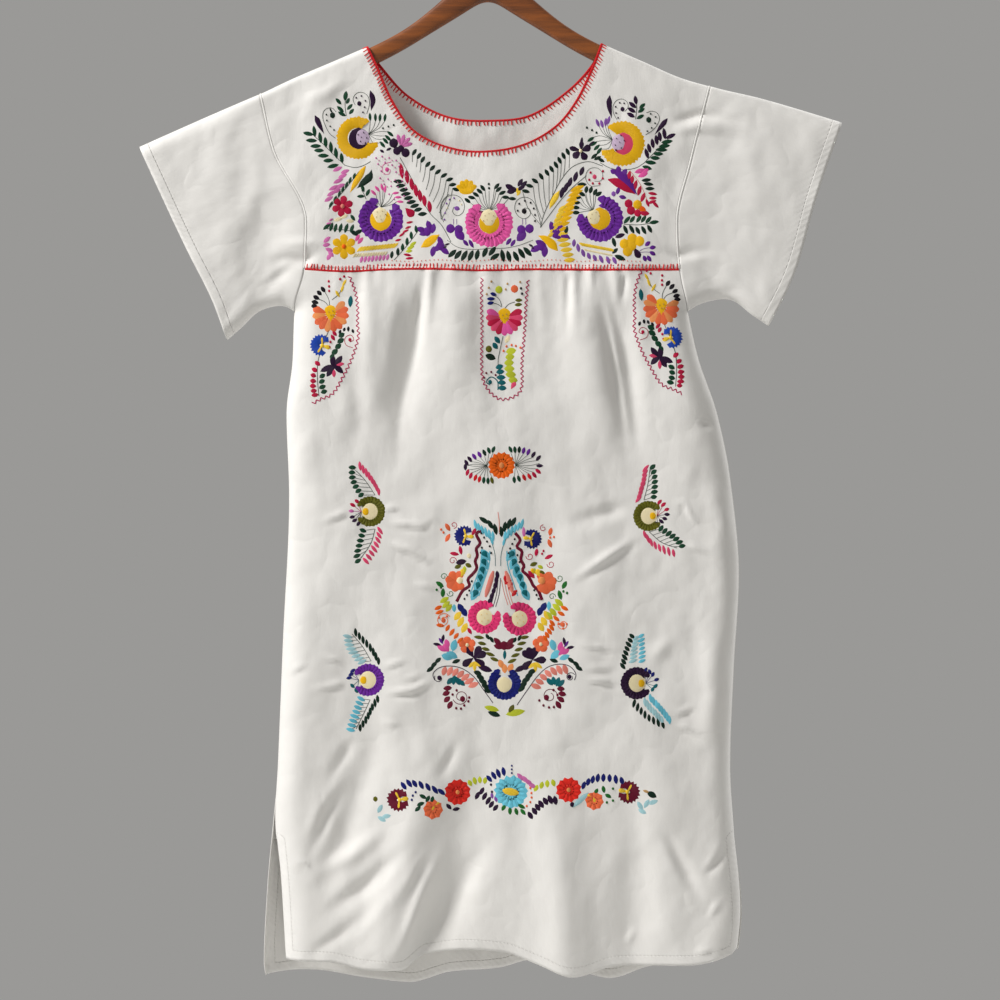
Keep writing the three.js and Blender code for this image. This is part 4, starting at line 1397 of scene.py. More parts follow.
def yoke_right_side():
    """The bouquet on the wearer's right."""
    work = Stitching("yoke_embroidery_right", 21)
    work.ring(357.8, 138, 9.5, 22.3, 60, 342, 26, "gold", 0.06)
    work.disc(358.8, 138.8, 11.3, "plum", 0.9)
    work.disc(361.6, 137.6, 8.6, "pale_lilac", 1.3)
    spots = [
        (358, 134.7), (363.5, 132.6), (361.2, 137.2), (366.6, 137.8), (360.4, 141.4), (365.4, 143),
    ]
    work.knots(spots, 1.05, "plum", 1.9)
    root = (368.5, 134)
    fronds = [(370, 116.8, 92), (375.4, 117.3, 90), (380, 117.7, 86), (385, 117.7, 82)]
    sweep_of_stems(work, fronds, [root] * 4, 7.6, 2.8, "green")
    fronds = [(390.4, 134, 140), (388, 138, 135), (385.6, 141, 132), (382.5, 144.6, 130)]
    for x, y, angle in fronds:
        work.leaf(x, y, 7.6, angle, 3, "green")
        work.line([root, (x - 9, y - 2.5 + (y - 134) * 0.1), (x - 2, y - 2)], "stem", 0.6)
    work.knots([(383, 128.3), (388.4, 126.6), (393.7, 125.2)], 1.1, "dark_green")
    loop = [
        (355.2, 105), (352.9, 99), (357, 93), (363, 92.6), (368, 96.5), (369.4, 104),
        (366.6, 113.8),
    ]
    spots = [(356.2, 97.8), (361.4, 96), (365.4, 100.8), (364.6, 107.2), (362.9, 112.3)]
    dotted_loop(work, loop, (359.3, 103.6), 2.5, spots, "plum")
    work.blade(
        [(370.3, 90.6), (371.6, 95), (373, 100.5), (372, 106), (371, 111)], [1.6, 2.9, 3, 2, 0.4],
        "plum",
    )
    work.line([(346, 94), (345, 105), (346.3, 116)])
    work.leaf(345.6, 96, 9, 80, 4.2, "green")
    work.leaves([(338.6, 101.5, 132), (340.5, 109.3, 138), (342, 114, 150)], 7.8, 3.4, "green")
    work.leaves([(347.9, 101, 62), (349.8, 107, 45), (351.5, 111.6, 48)], 6.8, 3.3, "green")
    loop = [
        (336, 112), (333, 108.6), (328.5, 108), (324, 111), (322.8, 117.5), (325.5, 126),
        (330, 134), (335.5, 138.3),
    ]
    spots = [(326.4, 114.8), (326.9, 120.6), (330.2, 126.4), (334, 130)]
    dotted_loop(work, loop, (332.6, 115.4), 3.0, spots, "dark_green")
    work.leaf(331, 110.6, 5.5, 115, 1.7, "dark_green")
    work.blade(
        [(315, 115.6), (317.5, 120.5), (320, 126), (322.8, 131.5), (324.3, 134.5)],
        [1.8, 3.1, 2.7, 1.5, 0.3], "plum",
    )
    work.line([(310, 132.5), (322, 143), (334, 155), (345, 165.3)])
    outer = [(308.4, 133.8, 167), (311.5, 140.6, 176), (315.7, 146.2, 180), (319, 150.6, 178)]
    outer += [(323.3, 155.8, 180), (328.3, 160.6, 184), (333, 166, 194)]
    work.leaves(outer, 10, 3.9, "green")
    inner = [
        (314.5, 131.3, 98), (320.3, 137.8, 98), (325.6, 142.4, 94), (331, 147.4, 94),
        (336, 153, 96), (341.7, 158, 96),
    ]
    work.leaves(inner, 10, 3.7, "green")
    work.line([(345, 165.3), (355, 167.5), (363, 165.6), (370.5, 161.5)])
    work.disc(393.7, 143.2, 4.9, "plum")
    work.disc(397, 151, 4.2, "plum")
    work.disc(405.6, 152.8, 4.6, "plum")
    work.disc(401, 148.5, 3.6, "plum")
    work.leaves([(388.8, 149.3, 25), (382, 151.2, 145)], 5, 2.5, "plum")
    for tip in (75, 105, 45, 18):
        work.drop(401, 147, 13 if tip > 30 else 12, tip, 4.8, "orchid")
    feather = [
        (337.5, 169, 205), (345, 171.5, 200), (342.5, 176, 205), (338.3, 181, 205),
        (333.9, 187.9, 205),
    ]
    feather += [(331.6, 193.6, 210), (328.8, 199.2, 210), (340.5, 186, 205), (336.5, 191, 205)]
    work.leaves(feather, 9.5, 3.8, "orchid")
    leaves = [(354.2, 176, 72), (350, 180.2, 72), (346.5, 184.8, 70), (342.8, 189.4, 72)]
    leaves += [(339.4, 194, 75), (335.2, 199, 65), (331, 204.7, 62)]
    work.leaves(leaves, 7, 2.6, "green")
    work.line([(359, 171.5), (346, 188), (336, 200), (328.7, 209.5)])
    work.blade(
        [(365.5, 166), (361.5, 172.5), (356.5, 181), (350, 192.5)], [2.4, 3.6, 3.0, 0.9], "gold",
    )
    work.blade(
        [(371.6, 169.5), (370, 176), (364, 182), (356.5, 188.5)], [0.8, 4.3, 3.4, 0.4],
        "dark_green",
    )
    work.leaves(
        [(362.7, 188, 108), (367.8, 192.4, 62), (360.8, 196.2, 2), (352.8, 217.7, 125)], 7, 3.2,
        "green",
    )
    work.line([(366, 199), (364, 194), (361.5, 190)])
    for turn in range(80, 440, 60):
        work.drop(342.5, 206.3, 10.8, turn, 8.2, "crimson", 0.95)
    work.disc(342.5, 206.3, 2.3, "salmon", 1.6)
    work.leaves([(344, 216.6, 20), (350, 221, -5), (338, 219.5, 15)], 8, 3.6, "cream")
    work.leaves([(331, 220, 30), (329, 223.5, 10)], 5, 2, "orchid")
    work.ring(380.8, 219, 10, 23.8, 108, 402, 21, "purple", 0.15, 4)
    work.disc(380.4, 220, 11.6, "gold", 1.0)
    work.disc(380, 215.6, 8.6, "cream", 1.5)
    spots = [(377, 212), (382, 211), (385.5, 214.5), (380, 216), (376.5, 217), (381, 219.5)]
    work.knots(spots, 0.8, "tan", 2.0)
    root = (381, 207)
    fronds = [(373.5, 192.5, 135), (377.3, 188.7, 130), (382, 187, 105), (385, 189, 85)]
    sweep_of_stems(work, fronds, [root] * 4, 7, 2.6, "pink")
    fronds = [(395.6, 193, 8), (398, 197.2, 0), (400.2, 201.7, -5)]
    sweep_of_stems(work, fronds, [root] * 3, 6.5, 2.4, "pink")
    cloud = [
        (376, 158), (382, 156.5), (389, 158), (396, 160.5), (378, 164), (385, 162.5), (392, 165),
        (399, 166.5),
    ]
    cloud += [
        (381, 171), (396, 172), (403, 174), (380, 178), (388, 179), (395, 180), (402, 181),
        (384, 184),
    ]
    cloud += [(391, 186), (398, 187), (406, 188), (389, 194), (394, 199), (404, 196), (409, 201)]
    work.knots(cloud, 1.0, "orchid")
    work.knots([(x + 2.8, y + 2.4) for x, y in cloud[:16]], 0.8, "pale_pink")
    work.line(
        [(391, 162), (383, 165), (383, 173), (389, 174), (390, 169), (386.5, 168.5)], "pink", 0.9,
    )
    work.knots([(387, 169.5)], 2.3, "pink")
    drops = [(401.6, 171, 14.5), (407, 177, 13), (411.7, 184, 12), (415.8, 190.4, 12)]
    drops += [(420, 195.8, 11.5), (424.4, 200.8, 11), (429.6, 206.6, 11)]
    for x, y, long in drops:
        work.leaf(x, y, long, 96, 4.3, "crimson")
    strip = [
        (398.3, 181.4, 178), (400.6, 185.7, 5), (403.7, 189.9, 8), (405.8, 194, 10),
        (408.4, 198, 12),
    ]
    strip += [(411.2, 202, 12), (414.6, 205.8, 15), (418, 209.6, 15), (422.4, 214, 5)]
    work.leaves(strip, 8.8, 3.9, "dark_green")
    work.line([(400, 157.6), (408, 172), (418, 191), (429.8, 213), (441.4, 225), (451, 242)])
    work.drop(405.5, 208, 11.5, -45, 10, "crimson")
    ticks = [
        (409.5, 222.3, 10), (408, 227.4, 20), (405.5, 231, 25), (401.8, 234.5, 35), (398, 240, 15),
    ]
    work.leaves(ticks, 6, 2.3, "crimson")
    tips = [
        (414.3, 152.2, 55), (419, 155.9, 58), (422.7, 159.6, 58), (427.8, 164.4, 48),
        (432.4, 168, 45),
    ]
    tips += [
        (437.9, 171.8, 38), (443.9, 175.4, 32), (449.5, 179.4, 20), (452.5, 184.6, 10),
        (456, 189.4, -18),
    ]
    roots = [(412.3, 162), (416.2, 167), (419.8, 172.5), (422.5, 182), (426, 190), (429, 196.5)]
    roots += [(433, 202), (436.5, 208.5), (439.2, 213), (441.2, 219.5)]
    sweep_of_stems(work, tips, roots, 7.2, 3.4, "dark_green")
    work.line([(441.2, 219.5), (440, 208), (443, 200), (449, 194)], "stem", 0.6)
    work.line([(325, 228.8), (340, 229.5), (358, 232.3)])
    rows = [
        (326.8, 226.8, 40), (331.4, 227, 72), (335.6, 228, 75), (340.6, 228, 75),
        (346.3, 228.2, 72), (352, 228.4, 68),
    ]
    work.leaves(rows, 8.4, 3.4, "green")
    work.leaves([(354.2, 233, -35), (358.2, 232, 25)], 8.5, 4, "dark_green")
    for turn in range(90, 450, 60):
        work.drop(344, 246.6, 12.6, turn, 9.5, "gold", 0.9)
    work.disc(344, 246.6, 2.4, "orange", 1.6)
    work.leaves(
        [(327, 239.8, 40), (326.5, 245, 10), (329.4, 250, -20), (331, 254, -50), (329, 257, 60)],
        7.5, 3.9, "orchid",
    )
    work.leaves([(360.4, 240.7, 50), (357.5, 237.8, 60)], 7.5, 3.6, "pink")
    for share in np.linspace(0, 1, 13):
        work.leaf(359.7 + 35.5 * share, 249.2 - 3.8 * share, 7.5, 42, 2.4, "yellow")
        work.leaf(354.5 + 31 * share, 255.3 - 2 * share, 5.2, 48, 1.9, "cream")
    work.row((361.5, 259.6), (387.5, 257.2), 8, 6.2, 3, 72, "orchid")
    work.leaves(
        [(416.2, 229.2, 98), (411.2, 235.3, 92), (407, 241.5, 88), (402.5, 247.3, 86)], 7.8, 3.3,
        "green",
    )
    work.leaves([(397.8, 251.6, 86), (391.8, 254.6, 80)], 7.8, 3.3, "dark_green")
    work.line([(394, 260), (403, 250), (412, 239), (420, 228)])
    work.leaves(
        [(421.5, 229.8, 155), (429, 225.5, 108), (433, 228.5, 75), (424.5, 233, 15)], 10, 5.4,
        "purple",
    )
    work.disc(427, 231.6, 4.6, "purple")
    work.blade(
        [(420.8, 247.4), (427, 243.5), (433.5, 238.5), (439.5, 234.6)], [1.6, 4.6, 4.4, 1.2],
        "gold",
    )
    work.disc(440.5, 246, 4.6, "purple")
    work.leaves(
        [(433, 251.5, 258), (437.5, 248, 215), (444.5, 250.5, 318), (440.5, 241.8, 110)], 10, 5.2,
        "purple",
    )
    work.leaves([(410.5, 247.5, 20), (413, 244, 35), (409, 251, 5)], 7, 3.2, "lime")
    work.leaves([(407.4, 254.8, -10), (409.5, 258.2, 5)], 7, 2.6, "crimson")
    work.sew()


def yoke_middle():
    """The bouquet below the neckline."""
    work = Stitching("yoke_embroidery_middle", 22)
    work.ring(489, 223, 9.5, 25.3, 127, 416, 24, "pink", 0.15, 4)
    work.disc(489.3, 223, 11.2, "gold", 1.0)
    work.disc(488.9, 218.2, 9.2, "cream", 1.5)
    spots = [(485, 216), (489, 214), (493.5, 216), (487, 220), (492, 221), (483.5, 221)]
    work.knots(spots, 0.85, "tan", 2.0)
    fronds = [
        (467.5, 200.6, 140), (471.7, 197.6, 165), (475.9, 194.6, 145), (479.6, 191.3, 140),
        (482.8, 188.1, 128),
    ]
    fronds += [
        (496.7, 186.4, 48), (498.6, 189.6, 40), (502.2, 193, 25), (505.6, 197.4, -5),
        (512.3, 198.8, -5),
    ]
    sweep_of_stems(work, fronds, [(489, 211)] * 10, 7.2, 3.3, "dark_green")
    work.line([(489, 210), (489, 191)], "stem", 0.6)
    work.knots([(488.8, 184.1), (489, 188.3)], 1.3, "dark_green")
    lower = [
        (452.3, 253.6, 42), (458, 254.9, 50), (464.3, 255.8, 60), (470.8, 255.7, 66),
        (477.2, 254.9, 76),
    ]
    lower += [
        (485, 252.4, 65), (492.3, 251.2, 52), (494.8, 256.8, 34), (502.7, 255.7, 100),
        (508.8, 256.4, 104),
    ]
    lower += [(516, 256.4, 116), (521.6, 253.3, 122), (527.6, 251.6, 132)]
    work.leaves(lower, 11, 4.5, "dark_green")
    work.line([(447, 240), (458, 247.5), (475, 249.5), (490, 248.4)], "stem", 0.6)
    work.line([(488, 248.4), (505, 248), (520, 245), (533, 240)], "stem", 0.6)
    for x, side in ((455.5, 1), (524.5, -1)):
        work.disc(x - 5 * side, 228.6, 4.7, "purple")
        work.disc(x + 3.2 * side, 229.4, 4.6, "purple")
        work.leaf(x + 3.6 * side, 235.5, 12, 90 + 40 * side, 8, "purple", 0.8)
        work.line([(x - 2, 224.5), (x - 2, 219)], "lilac", 0.7)
        work.line([(x + 1.2, 224.5), (x + 1.2, 219)], "lilac", 0.7)
    work.leaves(
        [(465.7, 243, 130), (471.2, 243.8, 118), (508.7, 241.5, 52), (513, 243, 55)], 8, 3.5,
        "purple",
    )
    work.leaves(
        [(447, 244.5, 20), (444.5, 247.5, 30), (531, 245.5, 150), (533.5, 248.5, 150)], 5, 2,
        "plum",
    )
    coil = [
        (443.5, 222), (440.8, 212), (443.2, 201), (451, 195), (460, 197.2), (464.4, 205),
        (462.5, 213),
    ]
    work.line([*coil, (456.5, 215.8), (452.5, 211.5), (453.8, 207)], "stem", 0.7)
    work.leaf(457, 208.4, 5.5, -20, 4.2, "lilac")
    work.knots(
        [(445, 213), (444.4, 219.6), (446.5, 203.5), (449.5, 199.5), (454, 198)], 1.0, "lilac",
    )
    work.knots([(459, 200.3), (461.3, 204.4), (447.2, 208)], 0.8, "cream")
    coil = [
        (541.5, 227), (538, 214), (533, 201), (524.5, 197.2), (517, 200.5), (514.6, 208.5),
        (518, 216),
    ]
    work.line([*coil, (524.5, 218.8), (530, 215), (529.5, 209), (524.5, 208)], "stem", 0.7)
    work.knots([(524.2, 211.2)], 2.8, "black")
    spots = [
        (519.2, 203.9), (524.9, 200.9), (530.6, 202.8), (533.8, 208.5), (535, 215), (535, 221),
        (517.7, 210.8),
    ]
    work.knots(spots, 1.15, "black")
    for angle in (22, 58, 90, 122, 158):
        work.drop(466.5, 190, 11, angle, 6.6, "gold")
    work.blade(
        [(457.5, 186), (462, 190.5), (470.5, 190.5), (475.5, 186)], [1.2, 3.6, 3.6, 1.2], "gold",
    )
    work.leaves([(509.8, 187.4, 148), (513, 189.6, 165), (511.2, 191.4, 190)], 9, 5.2, "plum")
    work.leaves([(520.2, 182.8, 58), (523.8, 184.6, 48), (521.2, 188, 35)], 9, 3.9, "plum")
    work.leaves([(517.4, 190.8, 90), (518.6, 193.2, 55)], 6, 3, "yellow")
    tips = [
        (525.8, 191.4, -15), (529.5, 186, 165), (535, 181, 145), (541.2, 176.4, 122),
        (547, 172.6, 122),
    ]
    tips += [
        (551.6, 169, 120), (556, 164.8, 118), (559.6, 160.2, 116), (563.6, 155.6, 115),
        (567.8, 151.6, 115),
    ]
    roots = [(540.5, 225), (541.5, 219), (543.5, 213), (546, 207), (549, 201), (552.5, 195)]
    roots += [(556, 188.5), (559.5, 182), (563.5, 175.5), (569, 168)]
    sweep_of_stems(work, tips, roots, 7.4, 3.5, "dark_green")
    work.line(
        [(540.3, 227.5), (544, 214), (552, 197), (561, 180), (572, 167), (588, 161.5), (603, 166)]
    )
    work.line([(540.3, 227.5), (548, 217), (560, 201), (573, 187), (586.4, 175.5)])
    work.sew()


def yoke_left_side():
    """The bouquet on the wearer's left."""
    work = Stitching("yoke_embroidery_left", 23)
    work.ring(622, 143.8, 9.5, 23.6, 203, 488, 27, "gold", 0.06)
    work.disc(623.6, 144, 11.6, "rose", 0.95)
    work.disc(619.3, 142.8, 8.4, "pale_lilac", 1.4)
    spots = [
        (620.8, 135.9), (616.5, 138.9), (623.9, 140.8), (619.5, 142.5), (615.2, 145.3),
        (621.2, 148.2), (616, 150.2),
    ]
    work.knots(spots, 1.0, "plum", 1.9)
    root = (612.5, 140)
    fronds = [(597.7, 123, 112), (601.9, 124, 105), (605.7, 122.3, 85), (608.6, 120.4, 75)]
    sweep_of_stems(work, fronds, [root] * 4, 8, 3.1, "lilac")
    fronds = [(590.8, 139.2, 32), (593.5, 143.6, 28), (596.8, 147.3, 42), (599.2, 150.9, 52)]
    for x, y, angle in fronds:
        work.leaf(x, y, 7.5, angle, 3.2, "green")
        work.line([root, (x + 9, y - 4 + (y - 134) * 0.1), (x + 2, y - 2)], "stem", 0.6)
    work.leaves([(594.3, 156, 40), (597.6, 158, 25), (601.2, 160, -30)], 7, 3.2, "dark_green")
    work.knots([(586.9, 127.5), (592, 130), (596.5, 132.6)], 1.25, "dark_green")
    work.leaf(581.6, 141.8, 9, 84, 2.8, "plum")
    petals = [(12, 165, 6), (10.5, 222, 8.6), (10.5, 300, 8.6), (10.5, 22, 8.6), (9.5, 85, 6)]
    for long, angle, wide in petals:
        work.drop(581, 150.6, long, angle, wide, "plum")
    work.drop(586, 148, 11, 38, 3.6, "plum")
    work.disc(580.7, 150.7, 1.9, "cream", 1.6)
    work.blade(
        [(609.8, 95.4), (609.2, 101), (609.4, 107), (610.6, 113), (611.8, 119)],
        [1.7, 3.2, 2.8, 1.6, 0.3], "plum",
    )
    loop = [
        (617, 120), (613.4, 113), (613, 106), (616.5, 100.6), (622, 99.2), (627, 102.2),
        (628, 107.5), (624.6, 111.7),
    ]
    spots = [(619.7, 103), (624, 103.5), (615.6, 107), (616, 113.2), (618, 118)]
    dotted_loop(work, loop, (622.5, 109.4), 2.4, spots, "plum")
    work.line([(635.3, 119.6), (636.6, 108), (635.3, 97)])
    work.leaves(
        [(635.6, 100.3, 98), (632.6, 105.3, 140), (631.6, 110.4, 148), (630.8, 115.4, 150)], 8.6,
        3.9, "plum",
    )
    work.leaves([(642.2, 106.2, 42), (641.2, 110.6, 32), (640.2, 117.1, 28)], 7.8, 3.5, "green")
    loop = [
        (646.3, 113), (651.6, 111.2), (657.6, 113.5), (659.4, 119), (656.5, 126), (650.5, 132),
        (645.4, 135),
    ]
    spots = [(650.6, 114), (655.6, 117), (655, 123.3), (651.6, 128), (647.2, 131.3)]
    dotted_loop(work, loop, (648.7, 120), 3.0, spots, "dark_green")
    work.blade(
        [(667.4, 118.4), (663.5, 123.5), (659.8, 128), (657, 131.6), (654.4, 134.8)],
        [1.8, 2.8, 2.4, 1.3, 0.3], "plum",
    )
    work.line([(643.7, 163.5), (653, 154), (663, 144), (673.3, 133.4)])
    outer = [
        (664.4, 133.6, 97), (659.8, 136.6, 97), (656.5, 140, 97), (652.6, 143.6, 98),
        (649.1, 148.4, 104), (646.7, 153.8, 106),
    ]
    work.leaves(outer, 9.8, 3.9, "plum")
    inner = [
        (667, 141.8, 8), (664.4, 146, 5), (661.5, 149.8, -2), (658.2, 154, 0), (655, 158.2, -4),
        (650.6, 162.8, -6), (647, 168, -18),
    ]
    work.leaves(inner, 10, 4, "green")
    work.leaf(670.6, 136.2, 10, 24, 4, "plum")
    work.line([(600, 162.5), (610, 168), (622, 170), (636, 168), (643.7, 163.5)])
    work.blade(
        [(608, 179.3), (616, 181.8), (626, 188), (635.5, 194.5)], [2.8, 4.8, 4.2, 0.9], "crimson",
    )
    work.blade(
        [(612, 171.5), (620, 174.5), (628.5, 183), (637.5, 195.5)], [2.4, 5.2, 3.8, 0.7], "purple",
    )
    work.leaves([(613.5, 171.5, 150), (618.5, 169.5, 95), (624.5, 172.5, 60)], 7, 5, "purple")
    work.leaves(
        [
            (628.9, 176, 78), (631.9, 180.2, 78), (635.3, 185.4, 76), (639.3, 190.8, 74),
            (642.9, 197.4, 66),
        ],
        9.6, 3.8, "crimson",
    )
    work.leaves([(639.8, 171.2, 14), (642.9, 175, 20), (645.6, 170.6, 40)], 9, 4.4, "pink")
    work.line([(630, 171), (640, 184), (648.6, 204.5)], "salmon", 0.8)
    work.leaves(
        [
            (652.6, 193.8, 170), (652.8, 198.2, 0), (652, 202, 20), (655.4, 204.5, -48),
            (647.5, 203, 110),
        ],
        7.8, 3, "crimson",
    )
    work.leaves([(646.2, 180.3, 5), (648.4, 184.2, -8), (649.8, 188.8, 0)], 8.8, 3.5, "dark_green")
    work.disc(628.6, 203.6, 4.4, "crimson")
    work.disc(631, 210.4, 4.6, "crimson")
    work.disc(637.6, 213, 3.8, "crimson")
    work.leaf(644.5, 213.2, 9, -8, 5, "crimson")
    work.disc(637.5, 204.6, 4.8, "gold", 1.1)
    work.leaf(642, 208.8, 9, -35, 5, "orange")
    work.knots([(613.6, 193.8)], 2.6, "lilac")
    work.leaves([(618, 190.8, 70), (622.6, 197.2, 165)], 6.5, 3.8, "purple")
    work.line([(624, 224.3), (640, 224.8), (655.6, 222.2)])
    upper = [
        (627, 219.9, 48), (632.4, 219.3, 52), (638.8, 219, 55), (643.6, 219, 55), (648.4, 220, 48),
        (654, 222.3, 8),
    ]
    work.leaves(upper, 8.4, 3.6, "green")
    lower = [
        (625.6, 229.6, 114), (631.8, 229.2, 118), (637.8, 230.6, 118), (643.7, 230.2, 118),
        (649.6, 228.9, 118),
    ]
    work.leaves(lower, 8.4, 3.6, "dark_green")
    work.leaf(620, 235.8, 9.5, 18, 4.2, "plum")
    work.ring(599.8, 218.5, 10, 24.4, 177, 446, 21, "purple", 0.15, 4)
    work.disc(599.8, 218.9, 11.6, "gold", 1.0)
    work.disc(594.8, 217.2, 8, "cream", 1.5)
    work.knots(
        [(592, 214.5), (596, 212.5), (599, 216), (595, 219.5), (590.5, 218.5)], 0.8, "tan", 2.0,
    )
    fronds = [
        (586.4, 189.4, 80), (590.9, 189.8, 72), (595.2, 192, 62), (598.7, 193.8, 32),
        (582.2, 193.9, 150),
    ]
    fronds += [(577.6, 197.2, 178), (576.6, 202.4, 178), (576, 207.4, 172), (576, 212.5, 180)]
    sweep_of_stems(work, fronds, [(593, 210.5)] * 9, 7, 3.7, "dark_green")
    work.leaf(582, 184.3, 8.5, 0, 3.8, "dark_green")
    coil = [
        (600, 185.5), (590, 185.4), (585.4, 177), (589, 169), (597, 167.8), (602.6, 173),
        (601, 180.5), (594.5, 181),
    ]
    work.line(coil, "stem", 0.6)
    spots = [
        (590.6, 172.4), (589.3, 179.6), (592.8, 183.2), (599.4, 183.3), (602.8, 178.3), (603, 171),
    ]
    work.knots(spots, 1.35, "crimson")
    work.knots([(594.6, 176.6)], 2.4, "rose")
    drops = [
        (581.9, 171, 68), (575.6, 176.6, 72), (570, 182, 72), (566, 187.4, 70), (562, 192.6, 78),
    ]
    work.leaves(drops, 10, 4.3, "plum")
    work.blade(
        [(559.8, 190), (556, 196.5), (552, 203), (549.5, 209)], [0.8, 3.2, 3.0, 0.8], "yellow",
    )
    for i in range(15):
        share = i / 14
        x = 579.5 - 17 * min(share * 1.7, 1) + 9 * max(share - 0.59, 0) / 0.41
        y = 188 + 72 * share
        work.leaf(x - 2, y, 15 - 4.5 * share, 24 - 20 * share, 4.6, "gold" if i < 9 else "yellow")
        if 2 < i < 9:
            work.leaf(x - 11, y + 5, 10, 34, 4, "yellow")
    for share in np.linspace(0, 1, 11):
        work.leaf(582.5 + 29 * share, 244.5 + 5.5 * share, 7.2, 152, 2.6, "yellow")
        work.leaf(586 + 24 * share, 250 + 5 * share, 5, 158, 1.8, "cream")
    lilacs = [(574, 243, 84), (578.2, 247.8, 100), (583.2, 253, 108), (588.9, 256, 110)]
    lilacs += [(594.8, 258, 114), (601.2, 259.2, 114), (608.1, 260.2, 110), (614.5, 260.6, 115)]
    work.leaves(lilacs, 7.6, 3.6, "lilac")
    for x, y in ((624.5, 244), (632.3, 238.6), (639.4, 241.2), (627.5, 251.4), (631.5, 246)):
        work.disc(x, y, 5.4, "gold")
    work.drop(634, 247.5, 12, -62, 8, "plum")
    work.line([(637, 253), (643, 249), (652, 247.5)], "lilac", 0.6)
    work.line([(637, 253), (646, 252), (652, 253)], "lilac", 0.6)
    work.leaves(
        [
            (647.6, 243.8, 42), (652.6, 247.5, 10), (652.6, 253.4, -30), (644.7, 258.6, 112),
            (649.1, 258.6, 122),
        ],
        6.2, 3.8, "purple",
    )
    work.leaf(614, 242.2, 9.4, 105, 3.8, "dark_green")
    work.leaf(615, 251, 7, 42, 3.6, "dark_green")
    work.leaf(620, 257.9, 11, 155, 4.6, "dark_green")
    work.leaves(
        [(552.4, 227.5, 105), (559.2, 228.5, 52), (564.8, 236.4, -22), (557, 235, 130)], 11.5, 5.8,
        "purple",
    )
    work.disc(555.8, 233.6, 5, "purple")
    work.blade(
        [(538.4, 235.6), (545, 238.6), (551.5, 243.8), (557.6, 250.8)], [1.6, 3.8, 5, 2.4], "gold",
    )
    work.leaves([(536.2, 248.5, 205), (544.8, 251.4, 262), (541, 243.6, 150)], 12, 6, "purple")
    work.disc(541.2, 246.2, 4.6, "purple")
    work.leaf(566.2, 230.4, 9, 76, 3.7, "dark_green")
    work.sew()


yoke_right_side()
yoke_middle()
yoke_left_side()


# ---- Embroidery on the skirt: three hanging sprays under the seam ----
def serrated(work, x, y, radius, start, end, teeth, colour, star=None):
    """A flower seen from its side: a toothed fan of satin, with a star where it opens."""
    work.ring(x, y, radius * 0.06, radius, start, end, teeth, colour, 0.16)
    if star:
        opening = (start + end) / 2 + 180
        spot = np.array([x, y]) + heading(opening) * radius * 0.12
        for angle in (opening, opening + 108, opening - 108):
            work.drop(spot[0], spot[1], radius * 0.72, angle, radius * 0.42, star, 1.35)
        work.disc(spot[0], spot[1], radius * 0.17, star, 1.5)


def heart_flower(work, x, y, radius, start, end, shades, heart):
    """Petals of changing shade round a teardrop heart."""
    petals = 11
    for i in range(petals):
        angle = start + (end - start) * (i + 0.5) / petals
        spot = np.array([x, y]) + heading(angle) * radius * 0.2
        work.drop(spot[0], spot[1], radius * 0.84, angle, radius * 0.47, shades[i % len(shades)])
    work.drop(x, y + radius * 0.45, radius * 0.95, 90, radius * 0.78, heart, 1.1)
    work.knots([(x - 1.8, y - 2), (x + 2, y - 3), (x, y + 1.2), (x + 2.4, y + 1)], 0.8, "tan", 1.7)


def middle_spray():
    work = Stitching("skirt_spray_middle", 31)
    edge = [
        (482, 278), (481.4, 300), (482, 330), (481.6, 360), (483, 380), (489, 391), (499.4, 399),
    ]
    work.zigzag(
        [*edge, (511, 398), (520.4, 391), (522, 362), (524.6, 330), (526.2, 300), (528, 280)],
        "magenta",
    )
    spots = [
        (491.4, 281.8), (507.4, 283.9), (520, 282.2), (488.8, 288), (486.7, 294.4), (505.7, 289.4),
    ]
    work.knots(spots, 1.2, "tan")
    work.disc(498.9, 289.8, 4, "lime")
    work.disc(514.5, 289, 4, "coral")
    work.knots([(521, 288.5), (522, 293.8)], 1.4, "black")
    work.leaves([(493.5, 294.4, -20), (491, 299, 0), (490.5, 303.2, 10)], 7, 3.4, "navy")
    work.line([(493, 295), (499, 299), (501.9, 306)])
    work.line([(492, 303), (497, 304), (501.9, 307)])
    work.leaves([(518.7, 300.3, 0), (518.3, 304.7, 5)], 7, 3.4, "olive")
    work.line([(515, 302), (509, 304), (505, 308)])
    shades = ["pink", "rose", "crimson", "rose", "crimson", "pink"]
    heart_flower(work, 504.4, 317, 18, 150, 390, shades, "gold")
    work.leaf(507.4, 339, 8, 60, 4.5, "cream")
    work.leaves([(497.3, 339.9, 125), (495.2, 345.8, 125)], 7.5, 4.6, "teal")
    work.disc(488.8, 349, 3.5, "olive")
    work.leaf(490.5, 356.9, 10, -22, 6, "dark_green")
    chain = [
        (499.4, 366.8, 15), (500.2, 371.8, 5), (501, 377.4, 0), (501.9, 382.6, -5),
        (502.3, 388, -5),
    ]
    work.leaves(chain, 7.6, 4.8, "teal")
    work.line([(503, 336), (500, 350), (498, 362), (502, 390)])
    work.line([(498, 390), (497.4, 381), (491, 376.9), (486.3, 382), (490, 385)], "teal", 1.6)
    work.knots([(490.1, 382)], 2.2, "teal")
    work.knots([(484.2, 377.7), (486.3, 373.1), (491.2, 372), (495.6, 375)], 1.2, "wine")
    work.knots(
        [(503.6, 350.8), (506.5, 346.2), (511.6, 344.9), (515.8, 345.8), (520.4, 347.6)], 1.3,
        "coral",
    )
    work.leaves(along([(511, 351), (509, 363), (510, 372), (513, 380)], 6, 8, -8), 9, 6.4, "lime")
    work.drop(511, 389, 8.5, 60, 6, "rose")
    work.sew()


